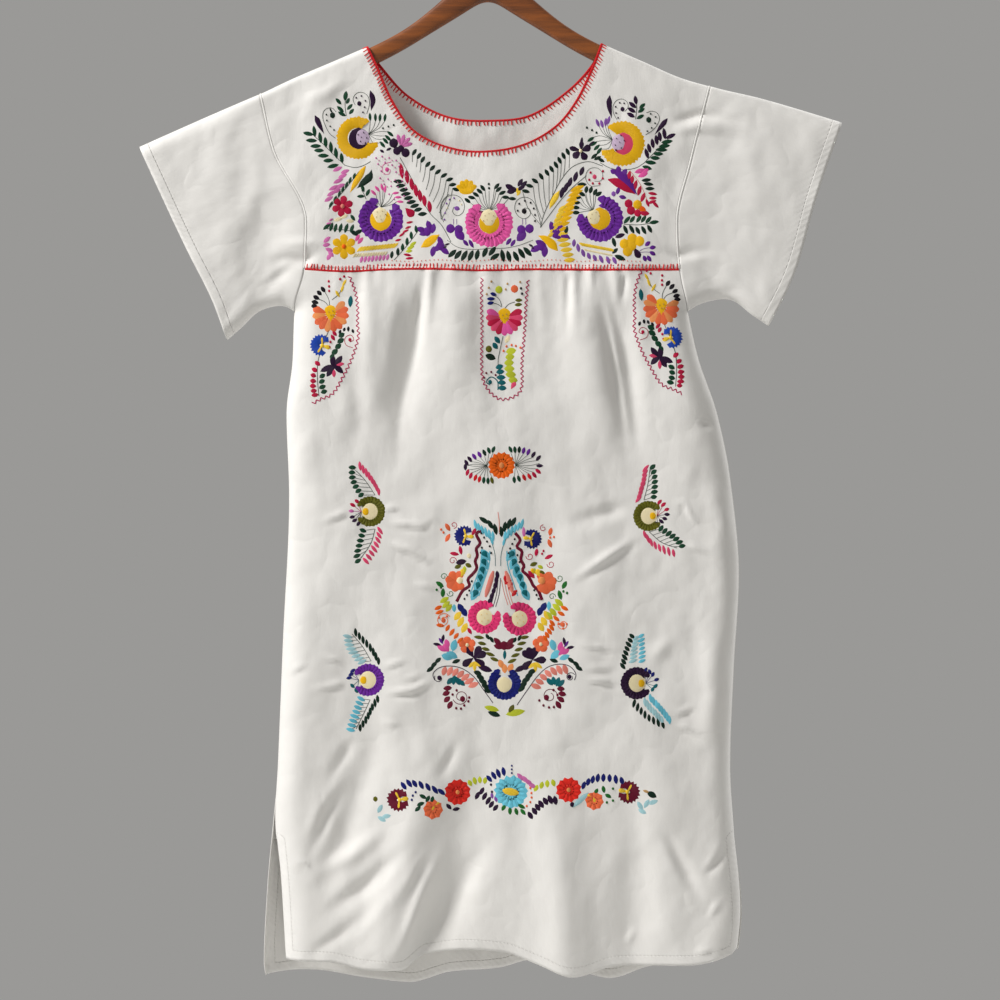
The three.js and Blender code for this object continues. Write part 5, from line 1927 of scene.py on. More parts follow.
def side_spray(work, chart):
    """One side spray; the other is the same drawing turned over and set where chart says."""

    def leaves(rows, *size):
        work.leaves([chart(*row) for row in rows], *size)

    def knots(rows, *size):
        work.knots([chart(x, y, 0)[:2] for x, y in rows], *size)

    def line(rows, *rest):
        work.line([chart(x, y, 0)[:2] for x, y in rows], *rest)

    edge = [
        (349.3, 276.3), (355.3, 291.7), (357.8, 309.6), (357.6, 325), (358.6, 335), (353.6, 354),
    ]
    edge += [(343.3, 376.3), (332.2, 394.2), (321, 399), (312.5, 403.6)]
    work.zigzag([chart(x, y, 0)[:2] for x, y in edge], "magenta")
    knots(
        [(328.8, 281.4), (329.2, 286.5), (329.2, 291), (340.3, 279.3), (344.2, 276.6)], 1.4,
        "crimson",
    )
    leaves(
        [(323.2, 289.5, 125), (319.4, 293, 135), (316.4, 297.6, 150), (315, 302.3, 165)], 6.2, 3.8,
        "black",
    )
    leaves([(314.2, 306, 180)], 6.2, 3.8, "black")
    line([(325, 292), (329, 300), (329.5, 307)])
    line([(318, 299), (325, 302), (329, 307)])
    leaves([(337.7, 294, 120), (342.4, 288.7, 70), (344.4, 283, 60)], 8, 2.6, "yellow")
    line([(344, 283), (339, 294), (332, 300)])
    leaves([(350.6, 301.5, 85)], 11, 4.4, "teal")
    x, y, turn = chart(330.7, 314, 0)
    start, end = (152, 412) if turn == 0 else (128, 388)
    heart_flower(work, x, y, 17.8, start, end, ["coral", "peach", "coral"], "gold")
    leaves([(334.6, 333.6, 130), (333, 337.6, 120)], 6, 3.4, "crimson")
    knots([(330.5, 342), (329.6, 347.2)], 1.4, "crimson")
    x, y, _ = chart(321, 345.3, 0)
    start, end = (40, 288) if turn == 0 else (252, 500)
    serrated(work, x, y, 11.8, start, end, 14, "blue", "yellow")
    leaves(
        [(341.6, 335.2, 30), (340.7, 340.8, 30), (338.2, 346.4, 32), (334.8, 352, 38)], 7, 5,
        "green",
    )
    leaves([(332.2, 356.6, 50)], 6, 4, "green")
    swirl = [(353, 348), (346, 345), (345, 338), (351, 335), (354, 340), (350, 342)]
    line(swirl, "crimson", 0.9)
    knots([(350, 339.8)], 1.9, "crimson")
    leaves(
        [(340, 331.8, 60), (344.3, 329.6, 70), (348.4, 329, 85), (353, 331.2, 110)], 4.4, 2.6,
        "black",
    )
    star = [
        (338.6, 361, 55), (338.4, 368.6, -45), (330.6, 371, 235), (327, 368.4, 205), (333, 361, 95),
    ]
    leaves(star, 12.5, 5.4, "plum")
    leaves([(340, 364.4, 10), (334, 373.4, -90)], 8, 3.6, "rose")
    drops = [(317.7, 363.5, 140), (314.7, 369.9, 150), (313.4, 375.4, 160), (313.2, 381, 170)]
    leaves([*drops, (313, 386, 175), (313.8, 390.8, 180), (315, 395, 185)], 6, 4, "crimson")
    leaves(
        [(322.4, 376, 30), (321.9, 381.5, 25), (322.4, 387, 20), (324, 391.7, 15)], 6.5, 4.4,
        "green",
    )
    line([(329, 330), (323, 345), (318, 362), (317.5, 380), (319, 396)])


def as_drawn(column, row, angle):
    return column, row, angle


def turned_over(column, row, angle):
    """The same square on the left spray, which is the right one mirrored, raised and leaning."""
    mirror = 991.5
    raised = 6.5
    top = 300
    lean = 0.03 * (row - top)
    return mirror - column + lean, row - raised - lean, 180 - angle


def side_sprays():
    for label, seed, chart in (("right", 32, as_drawn), ("left", 33, turned_over)):
        work = Stitching("skirt_spray_" + label, seed)
        side_spray(work, chart)
        work.sew()


# ---- Embroidery on the skirt: the flowers round the middle panel ----
def orange_flower():
    work = Stitching("skirt_flower_orange", 34)
    work.blossom(501.5, 465.4, 14.4, 16, "orange")
    work.disc(501.5, 465.4, 3.2, "peach", 1.5)
    left = [
        (493.4, 449.5, 65), (488.9, 450.5, 110), (484.4, 452.7, 115), (479.6, 454.6, 120),
        (474.3, 456.6, 125),
    ]
    left += [
        (469.8, 459.2, 130), (466.5, 462.8, 120), (465.4, 467, 90), (467.5, 472.4, 70),
        (470.8, 475.6, 68),
    ]
    left += [
        (475.4, 477.7, 68), (479.5, 479.2, 75), (483.8, 480.2, 85), (488, 480.8, 90),
        (492, 480.4, 105),
    ]
    right = [
        (510.5, 449.5, 115), (514.9, 449.8, 95), (519.2, 449.8, 85), (523.6, 450.7, 75),
        (528.4, 452, 65),
    ]
    right += [
        (533.4, 454.6, 55), (538.4, 458, 45), (539.6, 465.8, 0), (538.2, 471.4, -40),
        (534.3, 475, -55),
    ]
    right += [(529.5, 476.6, -60), (524.2, 477.6, -65), (518.9, 478.8, -70), (514.2, 479.8, -85)]
    shades = [
        "green", "green", "dark_green", "purple", "purple", "plum", "plum", "plum", "crimson",
        "crimson",
    ]
    shades += ["red", "red", "green", "green", "olive"]
    for rows, point in ((left, (487, 465.6)), (right, (515.4, 465.2))):
        for (x, y, angle), shade in zip(rows, shades):
            work.leaf(x, y, 6.6, angle, 3.3, shade)
            middle = (x * 0.6 + point[0] * 0.4, y * 0.5 + point[1] * 0.5)
            work.line([(x, y + (2.5 if y < 465 else -2.5)), middle, point], "stem", 0.5)
    work.sew()


def winged_flower(work, flower, ring, wings, tuft, ribs):
    """A flower between two feathered wings: its ring, then rows of leaves, then its stamens."""
    x, y, radius, start, end = flower
    shade, middle, core = ring
    work.ring(x, y, radius * 0.42, radius * 1.04, start, end, 20, shade, 0.14, 4)
    work.disc(x, y, radius * 0.6, middle, 1.1)
    opening = heading((start + end) / 2 + 180)
    spot = np.array([x, y]) + opening * radius * 0.25
    work.disc(spot[0], spot[1], radius * 0.28, core, 1.4)
    for rows, long, wide, colour in wings:
        work.leaves(rows, long, wide, colour)
    for rows, colour in tuft:
        work.leaves(rows, 5.4, 3.2, colour)
        for place in rows:
            work.line([place[:2], np.array([x, y]) + opening * radius * 0.55], colour, 0.6)
    for rows, rib in ribs:
        work.line(rib)
        ends = along_line(outline(rib, 6), np.linspace(0.12, 1, len(rows)))
        for place, tip in zip(rows, ends):
            work.line([place[:2], tip], "stem", 0.6)


def along(places, count, first, last):
    """Places in even steps along a line, with an angle that turns from the first to the last."""
    line = along_line(
        outline(places, 6) if len(places) > 2 else np.array(places, float),
        np.linspace(0, 1, count),
    )
    return [(x, y, first + (last - first) * i / (count - 1)) for i, (x, y) in enumerate(line)]


def side_flowers():
    work = Stitching("skirt_flower_upper_right", 35)
    green = along([(352.3, 467.5), (352, 476), (355, 485), (361, 495)], 7, 175, 215)
    pink = along([(360, 466), (367, 473.5), (373.4, 482), (378.6, 491.5)], 8, 96, 96)
    low = along([(363, 530.5), (359.8, 543), (357, 555), (357.9, 561)], 7, 155, 210)
    low_pink = along([(380, 530.5), (377, 543), (371.8, 553), (366, 561)], 8, 124, 134)
    tuft = [([(352.8, 505, 150), (357, 501.3, 140)], "crimson"), ([(351.4, 511, 175)], "orchid")]
    tuft += [([(352.3, 517, 190), (354.7, 520.4, 205), (358.6, 523.6, 230)], "plum")]
    wings = [(green, 6.5, 4.2, "green"), (pink, 8.6, 3.1, "rose")]
    wings += [(low, 7, 4, "green"), (low_pink, 8.6, 3.1, "rose")]
    ribs = [
        (green, [(356.5, 471), (364.8, 480), (375, 495)]),
        (low[::-1], [(361, 558), (371, 543), (375, 529)]),
    ]
    winged_flower(work, (370, 511.4, 15.4, 218, 508), ("olive", "cream", "gold"), wings, tuft, ribs)
    work.sew()
    work = Stitching("skirt_flower_upper_left", 36)
    green = along([(652.6, 467), (654.6, 476), (654.8, 487), (653.8, 497)], 7, 40, 5)
    pink = along([(645.7, 468.5), (644, 479), (641.6, 489), (638.6, 499)], 8, 48, 48)
    low = along([(661, 528.5), (669.3, 534), (677, 539.8), (682, 546)], 7, 55, 10)
    low_pink = along([(645, 534.6), (651.7, 542.8), (662, 549), (673.6, 553)], 8, 108, 100)
    tuft = [([(659.6, 502, 45), (663.4, 504.6, 40), (666.7, 509.5, 20)], "crimson")]
    tuft += [
        ([(667, 514.4, -5), (664.7, 518.6, -20), (661.4, 521.4, -40), (657.5, 524, -55)], "plum")
    ]
    wings = [(green, 6.5, 4.2, "green"), (pink, 8.6, 3.1, "rose")]
    wings += [(low, 7, 4, "green"), (low_pink, 8.6, 3.1, "rose")]
    ribs = [
        (green, [(650, 469), (648, 484), (644, 500)]),
        (low[::-1], [(677, 548), (662.3, 542.8), (649.4, 532)]),
    ]
    winged_flower(work, (648.5, 516, 15.4, 42, 320), ("olive", "cream", "gold"), wings, tuft, ribs)
    work.sew()
    work = Stitching("skirt_flower_lower_right", 37)
    pale = along([(347.5, 636.5), (350, 647), (356, 656), (362, 662)], 8, 165, 205)
    dark = along([(355.6, 632.5), (363, 640), (371, 648.6), (378.5, 661)], 8, 96, 92)
    low = along([(361, 699), (357, 710), (353.5, 720), (350.5, 730)], 8, 150, 165)
    low_dark = along([(377.6, 699), (372.4, 707), (367, 718), (360, 728)], 8, 96, 90)
    tuft = [([(352.6, 670.9, 35), (349, 678, 10), (351, 674.5, 20)], "navy")]
    tuft += [([(352.4, 686, -45), (356.2, 690.8, -55)], "teal")]
    wings = [(pale, 9, 3.6, "pale_blue"), (dark, 8, 3.2, "dark_green"), (low, 9, 3.6, "light_blue")]
    wings += [(low_dark, 8, 3.2, "dark_green")]
    ribs = [
        (pale, [(352, 634), (362, 646), (371, 661)]),
        (low[::-1], [(356, 729), (364, 713), (370, 700)]),
    ]
    winged_flower(work, (368, 680, 16.4, 218, 508), ("purple", "cream", "gold"), wings, tuft, ribs)
    work.sew()
    work = Stitching("skirt_flower_lower_left", 38)
    dark = along([(632, 636.2), (628, 646), (625, 656), (622.7, 666)], 8, 138, 128)
    pale = along([(636, 638), (634.4, 648), (633, 661)], 7, 32, 20)
    blue = along([(641, 636), (642, 648), (642, 661)], 7, 32, 20)
    low_dark = along([(634.1, 703.2), (641.1, 711), (650, 718.6), (663, 725)], 8, 75, 105)
    low_pale = along([(645, 702), (653, 711), (662, 720)], 7, 95, 100)
    low_blue = along([(650.6, 698.3), (660, 708), (669.6, 720)], 8, 98, 92)
    tuft = [
        ([(645.6, 670.2, 60), (649.7, 671.8, 110), (652.9, 674.5, 60), (656.6, 679.7, 20)], "navy")
    ]
    tuft += [([(655.5, 686.2, 45), (652.7, 689.4, 60)], "teal")]
    wings = [
        (dark, 7, 3.6, "dark_green"), (pale, 8, 3.2, "pale_blue"), (blue, 7, 3.2, "light_blue"),
    ]
    wings += [
        (low_dark, 8, 3.2, "dark_green"), (low_pale, 9, 3.2, "pale_blue"),
        (low_blue, 9, 3.4, "light_blue"),
    ]
    winged_flower(work, (636.8, 683.2, 16.4, 35, 322), ("plum", "cream", "gold"), wings, tuft, [])
    work.sew()


orange_flower()
side_flowers()
middle_spray()
side_sprays()


# ---- Embroidery on the skirt: the middle panel ----
def panel_top():
    work = Stitching("skirt_panel_top", 41)
    work.leaves(
        [(484.1, 520.4, -35), (490.3, 524.4, 118), (495.4, 529.2, 102), (501.2, 531.6, 95)], 10,
        4.2, "dark_green",
    )
    work.leaves([(504.8, 526.8, 82), (509, 524, 75), (513.4, 521.8, 62)], 10, 4.2, "dark_green")
    work.line([(498, 512), (499, 520), (499.5, 533)], "salmon", 1)
    work.leaves(along([(475.6, 525), (484, 531), (493, 536)], 6, 104, 96), 9.6, 3.1, "light_blue")
    work.leaves(along([(522, 524), (513, 530), (505, 536)], 6, 76, 84), 9.6, 3.1, "light_blue")
    serrated(work, 464.5, 536, 11.2, 45, 305, 14, "navy", "yellow")
    serrated(work, 532, 539, 10.8, 212, 488, 14, "navy", "yellow")
    work.leaf(474, 531.7, 8, 60, 3.4, "crimson")
    work.leaf(523.8, 532.2, 10, 92, 3.2, "orchid")
    for rows, coil, spots in (
        (
            [(447.7, 527.2, 120), (447.7, 537.8, 60)], (453.8, 525, -90),
            [(443.4, 532.5), (441, 529.5)],
        ),
        (
            [(550.5, 531.6, 75), (549.9, 543.4, -70)], (543.2, 528.3, 90),
            [(553.9, 537), (550.2, 537.5)],
        ),
    ):
        work.leaves(rows, 8, 4, "coral")
        work.spiral(coil[0], coil[1], 3.6, 1.1, coil[2], "crimson")
        work.knots(spots, 1.3, "coral")
    left = [
        (480.8, 530.5), (476.3, 533.9), (480.2, 543.4), (476.3, 548.5), (477.4, 555.8),
        (475.2, 560.8),
    ]
    left += [
        (476.8, 568.1), (472.9, 573.8), (467.9, 579.4), (469.5, 585.6), (462.8, 590.6),
        (456.6, 601.7),
    ]
    right = [
        (515.2, 533), (520.2, 540), (516.8, 546.8), (521.9, 551.3), (520.8, 559.7), (524.1, 565.9),
    ]
    right += [
        (522.4, 570.4), (527.5, 575.4), (531.4, 581.6), (533.1, 585.5), (538.2, 590.6),
        (542.1, 600),
    ]
    for path in (left, right):
        work.line(path, "wine", 3.7, 0.9)
    spots = [
        (481.3, 533.3), (484.1, 537.5), (487, 541.5), (489.8, 546.2), (491.2, 553), (481.9, 547.7),
    ]
    spots += [
        (480.8, 552.7), (471.8, 581.3), (469.3, 590.6), (467, 595), (464.5, 599), (514.7, 539.2),
    ]
    spots += [
        (512.3, 544), (510.1, 548.5), (508.7, 553.2), (517.4, 555.2), (519.6, 562), (534.2, 590.3),
    ]
    work.knots([*spots, (536.5, 595), (538.7, 599)], 1.2, "black")
    work.line([(480.8, 530.5), (488.6, 536.7), (494.5, 552), (495.4, 566)], "teal", 0.8)
    work.line([(515.2, 530.5), (507.4, 536.7), (501.5, 552), (500.6, 566)], "teal", 0.8)
    work.leaves(
        [(488.5, 536, 120), (492, 541, 105), (507, 536, 60), (504, 542, 75)], 7, 2.6, "light_blue",
    )
    left_chain = along([(485.6, 555), (484.0, 566), (480.0, 580), (474.8, 594)], 6, 128, 60)
    right_chain = along([(510.8, 555), (514.8, 567), (520.4, 579), (525.6, 594)], 6, 52, 120)
    for x, y, angle in [*left_chain, *right_chain]:
        work.leaf(x, y, 13.4, angle, 7, "light_blue")
        tail = np.array([x, y]) - heading(angle) * 4.6
        work.drop(tail[0], tail[1], 9.6, angle, 7, "teal", 1.5)
    for inner, outer, side in ((489.8, 481.6, 1), (506.8, 514.8, -1)):
        bowl = [(inner, 551), (inner - side, 566), (inner - 5.6 * side, 580)]
        work.line([*bowl, (inner - 11 * side, 596)], "light_blue", 1.5)
        bowl = [(outer, 551), (outer - side, 564), (outer - 5.4 * side, 578)]
        work.line([*bowl, (outer - 11.6 * side, 594)], "light_blue", 1.5)
    for places in (
        [(493.4, 571), (489.5, 584), (485.4, 597)], [(505.6, 571), (509.4, 583), (512.6, 593)],
    ):
        spine = along_line(places, np.linspace(0, 1, 6))
        work.pad(spine, [1.2, 2.6, 2.8, 2.8, 2.6, 1], "salmon")
    work.leaves(along([(497.4, 575), (494.6, 588), (489.8, 601)], 6, 95, 60), 8, 3.8, "plum")
    work.leaves(
        [(505.6, 578, 80), (510.4, 586, 60), (514.5, 593, 50), (508, 582, 30)], 7.4, 4, "red",
    )
    for x in (496.4, 499, 501.6):
        work.line([(x - 1, 578), (x - 2.5, 594), (x - 6, 607)], "plum", 0.9)
        work.line([(x + 5, 580), (x + 8, 594), (x + 11.5, 605)], "salmon", 0.9)
    work.sew()


def panel_sides():
    work = Stitching("skirt_panel_sides", 42)
    work.leaves(
        [(460.6, 550.2, 100), (454.4, 553.8, 170), (536.5, 552.4, 80), (548.8, 556.9, 25)], 8, 3.6,
        "crimson",
    )
    work.spiral(452.7, 560.8, 4, 1.1, 0, "crimson")
    work.knots([(469, 555.8)], 2.4, "cream")
    work.knots([(543.5, 551), (542.1, 553.8)], 1.3, "crimson")
    work.spiral(529.7, 556.3, 4, 1.1, 180, "crimson")
    work.spiral(550.8, 564.2, 4, 1.1, 180, "crimson")
    work.leaf(461.1, 562, 10, 10, 5.4, "plum")
    work.leaves(
        [(457.8, 566.7, 20), (468.4, 565.3, 150), (533.7, 564.2, 20), (541.5, 572.6, 160)], 7, 4,
        "olive",
    )
    work.leaves([(464.5, 569.4, 90), (540.4, 567, 150), (533.7, 570.9, 60)], 6, 3.6, "lime")
    for angle in (60, 120, 170, 215, 262, 310):
        work.drop(456, 581, 11, angle, 9.6, "coral")
        work.drop(545, 582.6, 12, 180 - angle, 10.4, "coral")
    work.disc(459.6, 580.4, 3.6, "cream", 1.4)
    work.disc(541.6, 580.4, 4, "peach", 1.4)
    work.drop(460.4, 577.6, 9.4, 68, 6.4, "yellow", 1.3)
    work.drop(540.4, 578, 9.6, 112, 6.8, "yellow", 1.3)
    work.drop(535.6, 574, 7, 130, 4.6, "gold", 1.35)
    work.leaf(531.4, 574.6, 9, 130, 4.4, "crimson")
    work.leaves(
        [(439.8, 584.4, 145), (442.9, 592.9, 85), (564.5, 585, 60), (560, 595, 105)], 9, 4.2,
        "leaf_green",
    )
    for x, y, radius, start in (
        (443.7, 576.6, 3.6, 0), (450.5, 593.4, 3.6, 180), (559.5, 578.2, 4, 180),
        (552.2, 596.7, 3.6, 0),
    ):
        work.spiral(x, y, radius, 1.1, start, "leaf_green")
    work.knots([(440.9, 587.5), (436.7, 589.8), (563.4, 591.4), (567, 593)], 1.4, "leaf_green")
    work.leaves([(444.3, 600, 30), (446, 604.6, 40), (448.8, 608, 50)], 9, 4.6, "lime")
    work.leaves(
        [(559, 602.6, 140), (556.6, 607.4, 140), (553, 612, 130), (549, 615.6, 130)], 10, 5, "lime",
    )
    work.leaves(
        [
            (464.4, 628, 60), (460.6, 622, 60), (457.6, 616, 50), (541, 627, 120),
            (544, 621.4, 120), (547, 615.4, 120),
        ],
        10, 5.6, "yellow",
    )
    work.leaves(
        [(460.7, 608, 120), (464, 612, 120), (540, 611.4, 70), (543.6, 607, 60)], 9, 5.6, "navy",
    )
    work.leaves([(454.1, 608.2, 90), (549, 606, 90)], 8, 4, "light_blue")
    rows = [
        (438.2, 607.8, 25), (439.4, 612.2, 20), (440.2, 625.4, -10), (447.6, 628, 60),
        (451.9, 632.3, 55),
    ]
    work.leaves([*rows, (456.2, 636, 50), (460.2, 640.5, 45)], 7.4, 3.6, "orange")
    rows = [
        (564.5, 608.2, 150), (561.2, 613.6, 150), (556.3, 618.6, 140), (552.2, 623, 130),
        (551.6, 627.6, 125),
    ]
    work.leaves(
        [*rows, (549.4, 631.4, 125), (547.1, 635, 120), (545.3, 638.8, 120)], 7.4, 3.6, "orange",
    )
    work.spiral(443.5, 620.4, 7.4, 1.3, 30, "orange", ("coral", 3), 1.3)
    work.spiral(562.9, 624.6, 5.4, 1.3, 150, "orange", ("coral", 3), 1.2)
    work.sew()


def panel_middle():
    work = Stitching("skirt_panel_middle", 43)
    for x, y, start, end in ((484.3, 617.2, 60, 378), (519.6, 618.9, 162, 480)):
        work.ring(x, y, 7, 17.6, start, end, 18, "hot_pink", 0.14, 4)
        work.disc(x, y, 8.6, "cream", 1.2)
        speckles = [(x - 3, y - 2.4), (x + 2.6, y - 3.4), (x, y + 0.8), (x - 2.4, y + 4)]
        work.knots([*speckles, (x + 3.8, y + 3)], 0.8, "gold", 1.7)
    work.leaf(469.6, 631, 7, 120, 3.4, "crimson")
    for x, y, turn in ((467.2, 645, 20), (540.8, 644.2, 160)):
        for angle in (0, 72, 144, 216, 288):
            work.drop(x, y, 8.6, angle + turn, 9, "coral", 0.95)
        work.disc(x, y, 2, "cream", 1.5)
    work.leaves(along([(479, 637.4), (484, 647), (494.5, 659.4)], 5, 172, 158), 8.8, 3.4, "olive")
    work.leaves(along([(524.4, 637.4), (519, 649), (512, 661)], 5, 8, 22), 8.8, 3.4, "olive")
    work.leaves(
        [(487.6, 636.8, 120), (491.7, 639.7, 120), (514.7, 640, 60), (519.6, 638, 60)], 6, 3.2,
        "dark_green",
    )
    work.leaves(
        [(497.6, 642, 130), (498.6, 646.6, 165), (510.2, 642.4, 50), (509, 646.6, 15)], 10, 5.2,
        "wine",
    )
    work.disc(504, 645.6, 4.6, "wine")
    work.leaf(504.7, 654.8, 8.6, 88, 3.2, "teal")
    for x, y, side in ((442, 645, 1), (565.3, 648, -1)):
        work.leaves(
            [
                (x + 5 * side, y - 1.4, 90 + 15 * side), (x, y + 3.4, 90 + 60 * side),
                (x + 4 * side, y + 3, 90 + 35 * side),
            ],
            9.4, 5, "pink",
        )
        work.leaves(
            [(x + side, y - 6.6, 90 - 10 * side), (x - 5 * side, y - 0.6, 90 + 78 * side)], 7.6, 3,
            "plum",
        )
        work.leaf(x - side, y - 4, 7, 90 + 35 * side, 2.6, "purple")
    work.leaves(
        [(454, 645.4, 75), (447, 656.8, 160), (452, 655, 150), (553, 645, 105), (555.5, 654.4, 40)],
        11, 6.4, "light_blue",
    )
    work.leaf(564.5, 657.2, 10, 20, 5, "light_blue")
    rows = [
        (430.4, 669, 35), (434, 664.6, 40), (438, 660.3, 40), (456.2, 661.3, 20),
        (553.9, 660.5, 160),
    ]
    work.leaves(
        [*rows, (571, 660.2, 140), (575.9, 663.8, 140), (578.8, 668, 145)], 8, 3.8, "dark_green",
    )
    for x, y, tips in (
        (473.7, 658, (215, 122, 22, 322, 60)),
        (532.7, 660, (138, 75, 0, 222, 110)),
    ):
        for angle in tips:
            work.drop(x, y, 13.6, angle, 8.8, "plum")
    work.leaf(485.1, 668.7, 14, -20, 5.6, "plum")
    work.leaf(520.4, 668.6, 12, 25, 5, "plum")
    work.leaves([(474.6, 666.4, 90), (477.6, 664.4, -35), (472, 664.6, 40)], 9, 3.6, "yellow")
    work.leaves([(535.4, 667.4, 90), (532, 665.4, 35), (538.4, 665.4, -40)], 9, 3.6, "yellow")
    work.leaves(
        along([(477.6, 673), (482, 680), (487.6, 690.6)], 5, 160, 150), 8, 4.6, "dark_green",
    )
    work.leaves(along([(532, 671.6), (526.6, 679), (521, 689)], 5, 20, 30), 8, 4.6, "dark_green")
    work.ring(504.5, 683.5, 7, 17.4, 118, 422, 20, "navy", 0.14, 4)
    work.disc(504.2, 685, 8.2, "cream", 1.2)
    work.leaves([(501, 664, 110), (510.6, 667.6, 60), (504.6, 668.6, 90)], 9, 5.4, "peach")
    work.sew()


def panel_foot():
    work = Stitching("skirt_panel_foot", 44)
    left = along([(444.3, 671), (452.5, 671.6), (462, 675), (473.4, 685)], 7, 70, 20)
    right = along([(565.3, 669.2), (556, 670.4), (546, 675), (536, 686.4)], 7, 110, 160)
    work.leaves([*left, *right], 9.4, 5, "salmon")
    path = [
        (434.6, 680), (432.9, 674), (438, 668.4), (447, 666), (460.7, 668), (473.7, 676.8),
        (483.5, 689.9),
    ]
    work.line([*path, (493, 703)], "plum", 1.1)
    path = [
        (574.4, 680), (575.9, 674), (570, 666.4), (560, 664), (548, 667), (538, 675.6),
        (527.4, 690),
    ]
    work.line([*path, (517, 705)], "plum", 1.1)
    work.spiral(438.8, 678, 4.6, 1, 150, "plum")
    work.spiral(570.4, 677, 5, 1, 30, "plum")
    work.knots([(439.4, 678), (569.4, 676.6)], 2.4, "plum")
    for x, y, side in ((454.9, 681, 1), (554.7, 681.7, -1)):
        rows = [
            (x - 5, y, 90 - 40 * side), (x - 1, y - 1, 90 - 10 * side), (x + 3, y, 90 + 20 * side),
            (x + 6.4, y + 1.4, 90 + 45 * side),
        ]
        work.leaves(rows, 8.4, 4.6, "teal")
    left = [(447.6, 688.2, 5), (446.2, 693.4, 20), (447, 699.4, 42), (450, 705, 60)]
    right = [(560.8, 688.7, 175), (562.2, 693.8, 165), (561, 699.4, 140), (558.4, 704.8, 120)]
    work.leaves([*left, *right], 7.6, 4.8, "wine")
    spots = [(469.2, 697.6), (468.4, 701.3), (464.3, 705.4), (461, 708.7), (456.2, 708.2)]
    work.spiral(460.7, 697, 8, 1.25, 200, "wine")
    work.knots([*spots, (452.6, 694.6), (456.6, 690.4)], 1.4, "wine")
    work.knots([(462.6, 699)], 3, "wine")
    spots = [
        (539.3, 700.5), (543.5, 705.4), (549, 707.4), (553.9, 707), (557.4, 694.8), (553.4, 690),
    ]
    work.spiral(549.8, 696, 8, 1.25, -20, "wine")
    work.knots(spots, 1.4, "wine")
    work.knots([(546.5, 697.6)], 3, "wine")
    work.leaf(491.7, 708.7, 14, -15, 5.2, "lime")
    work.leaf(494.1, 714, 12, -20, 5, "dark_green")
    work.leaf(515.5, 712.7, 18, 10, 6.2, "lime")
    work.leaf(511.4, 709, 9, 60, 4.6, "olive")
    work.sew()


panel_top()
panel_sides()
panel_middle()
panel_foot()


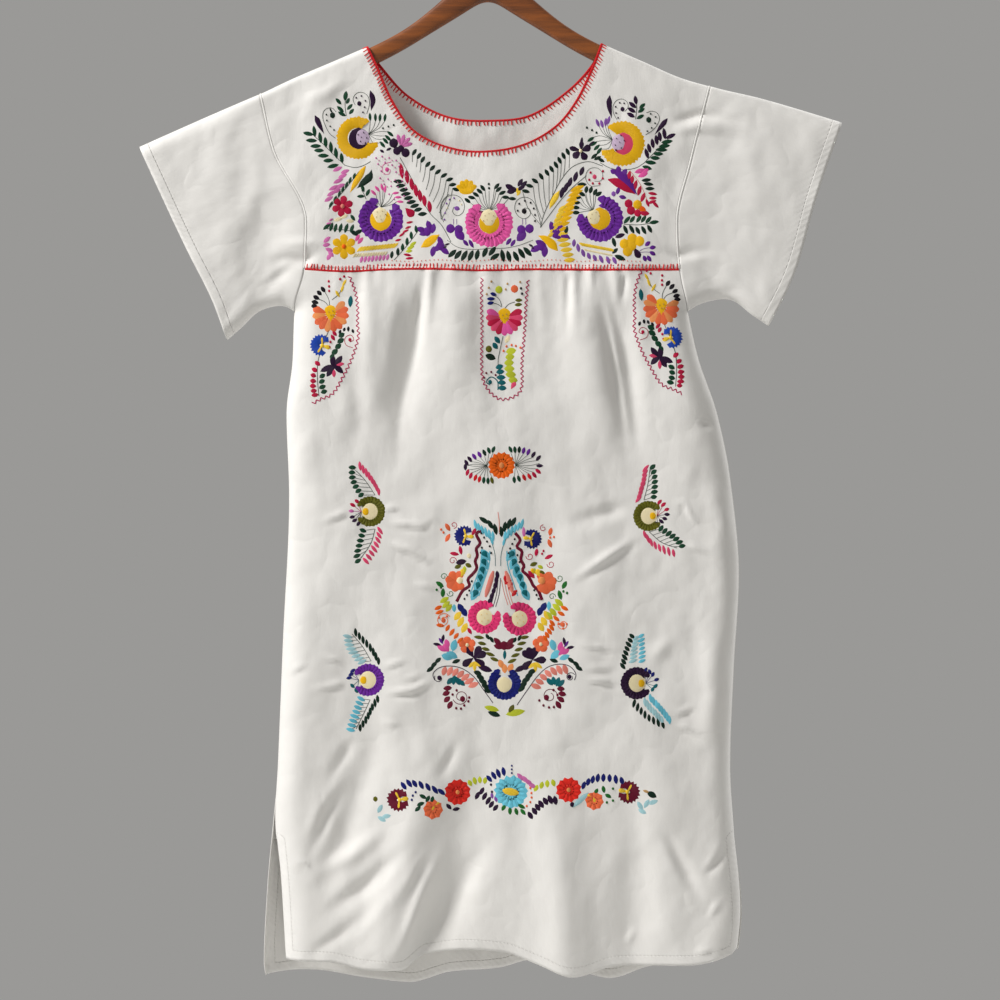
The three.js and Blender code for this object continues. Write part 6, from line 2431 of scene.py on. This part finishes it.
# ---- Embroidery on the skirt: the band below ----
def lower_band():
    right = Stitching("skirt_band_right", 51)
    right.knots([(375.3, 799.2)], 2.6, "olive")
    right.leaves([(380, 808.8, 60), (386.4, 816.2, 10), (381.8, 819, 150)], 9, 4.2, "pale_blue")
    serrated(right, 398.3, 799.6, 12.4, 38, 342, 15, "wine", "yellow")
    rows = [
        (403.8, 785.4, 125), (409.3, 782.9, 125), (414.8, 783.1, 122), (421.3, 784.5, 118),
        (428.1, 786.5, 118),
    ]
    right.leaves([*rows, (435, 789.3, 125), (441.5, 791.6, 140)], 8.8, 4, "navy")
    right.knots([(413, 795), (415.8, 791.6), (412, 799.2)], 1.3, "navy")
    right.leaves(
        [
            (423.1, 796, 150), (427.9, 798.3, 60), (420.8, 803.3, 20), (418, 808, 40),
            (432.4, 799.4, 80),
        ],
        7, 3.6, "green",
    )
    right.blossom(433.2, 809, 10.6, 8, "coral", 60)
    right.leaves([(436.5, 803.8, 20), (433.5, 806.4, 60)], 7, 4.4, "yellow")
    right.blossom(457.5, 792.3, 14, 12, "scarlet")
    right.disc(457.5, 792.3, 2.4, "peach", 1.5)
    right.leaves([(456.2, 809.4, 10), (448.8, 806.6, 130)], 7, 3.6, "plum")
    right.leaves(along([(469.9, 783.4), (477.5, 780.4), (485, 781)], 4, 115, 80), 7, 4, "lime")
    rows = [
        (477.3, 796, 62), (481.9, 791.4, 60), (484.6, 796.6, 60), (488.3, 801, 58),
        (491.4, 804.8, 55),
    ]
    right.leaves([*rows, (495.6, 808, 50)], 8, 4, "plum")
    right.leaves([(492, 796, 100), (495.9, 799.4, 110)], 6, 3, "lilac")
    right.knots([(491, 785), (492, 792.2)], 1.4, "plum")
    right.leaves(
        [(489.2, 779, 130), (493.8, 775.8, 120), (498.4, 773.6, 110), (503.6, 771.6, 100)], 8.6, 4,
        "navy",
    )
    right.sew()
    left = Stitching("skirt_band_left", 52)
    left.blossom(510.8, 791.8, 17.8, 15, "light_blue")
    left.blade([(501.8, 790), (510.8, 791.8), (519.6, 793.4)], [3.8, 5.2, 3.8], "yellow", 1.5)
    left.leaves(along([(520.4, 777), (526, 780), (532, 785.4)], 4, 130, 150), 8.4, 4.2, "orchid")
    left.knots([(511.8, 765.8), (511.8, 769.4), (511.8, 773)], 1.1, "navy")
    left.knots(
        [(530.3, 788), (531.4, 792.9), (531.6, 797.4), (530.3, 802), (526.7, 806)], 1.3, "coral",
    )
    left.leaves(
        [
            (503.7, 807.6, 60), (510, 811, 90), (516.4, 811.6, 105), (521.4, 806.4, 150),
            (523, 812, 130),
        ],
        7.4, 3.6, "leaf_green",
    )
    left.leaves(
        [(536, 788, 60), (541.6, 785, 75), (547.2, 783.4, 90), (553.3, 782.6, 105)], 7.4, 4.2,
        "lime",
    )
    rows = [
        (530.3, 815.3, 120), (534.5, 811, 122), (537.6, 807, 122), (541, 803.8, 122),
        (545.4, 800.8, 120),
    ]
    left.leaves([*rows, (550.2, 799.2, 112), (555.2, 800, 100)], 8.4, 4.6, "plum")
    left.blossom(568.5, 789.7, 13.6, 12, "scarlet")
    left.disc(568.5, 789.7, 2.4, "peach", 1.5)
    left.leaf(580.4, 800, 20, 41, 5, "pale_blue")
    left.knots([(572.2, 804.4)], 2.6, "plum")
    rows = [
        (583.7, 785.4, 70), (588.2, 782, 75), (592.8, 779.6, 78), (597.8, 778, 82),
        (603.4, 777.8, 85),
    ]
    left.leaves(
        [*rows, (609.6, 778.2, 90), (615.8, 779.4, 96), (621.9, 781, 104)], 8.4, 4.2, "navy",
    )
    left.leaves([(596.2, 791.6, 60), (603.6, 789.4, 100), (608.2, 796, 150)], 7, 3.6, "leaf_green")
    left.knots([(613, 788.7), (613, 800.7), (606.9, 802.6)], 1.4, "leaf_green")
    left.blossom(594.4, 801, 10, 8, "coral", 60)
    left.leaves([(590.8, 796.6, 150), (594, 799.4, 110)], 7, 4.4, "yellow")
    serrated(left, 628.7, 792.3, 12.4, 195, 498, 15, "wine", "yellow")
    left.leaf(651.7, 794.4, 9.6, -30, 5.6, "dark_green")
    left.leaf(646, 791.3, 6, -20, 2.6, "tan")
    left.leaves(
        [(640.2, 806, 120), (646.6, 803.6, 60), (652.9, 802, 20), (642.3, 811.4, 150)], 8.6, 4.2,
        "pale_blue",
    )
    left.sew()


lower_band()


# ---- Stage ----
def stage_floor():
    finish = Finish("pale_floor", Roughness=0.8)
    finish.set(finish.shader, {"Base Color": tint(214, 214, 212)})
    bpy.ops.mesh.primitive_plane_add(size=2.3, location=(0, -0.5, -1.46))
    floor = bpy.context.object
    floor.name = "floor"
    floor.data.materials.append(finish.material)


def soft_light(name, place, aim, size, watts, colour=(1, 1, 1)):
    data = bpy.data.lights.new(name, "AREA")
    data.shape = "RECTANGLE"
    data.size, data.size_y = size
    data.energy = watts
    data.color = colour
    lamp = bpy.data.objects.new(name, data)
    lamp.location = place
    lamp.rotation_euler = (Vector(aim) - Vector(place)).to_track_quat("-Z", "Y").to_euler()
    bpy.context.scene.collection.objects.link(lamp)


deselect_all()
stage_floor()
soft_light(
    "window", place=(-3.3, -1.45, 2.1), aim=(0, 0, -0.6), size=(1.1, 1.1), watts=212,
    colour=(1.0, 0.99, 0.98),
)
soft_light("behind", place=(2.9, 2.0, 1.6), aim=(0, 0, -0.7), size=(1.6, 1.6), watts=90)

world = bpy.data.worlds.new("grey_room")
world.use_nodes = True
world.node_tree.nodes["Background"].inputs["Color"].default_value = tint(154, 153, 151)
world.node_tree.nodes["Background"].inputs["Strength"].default_value = 1.0
bpy.context.scene.world = world
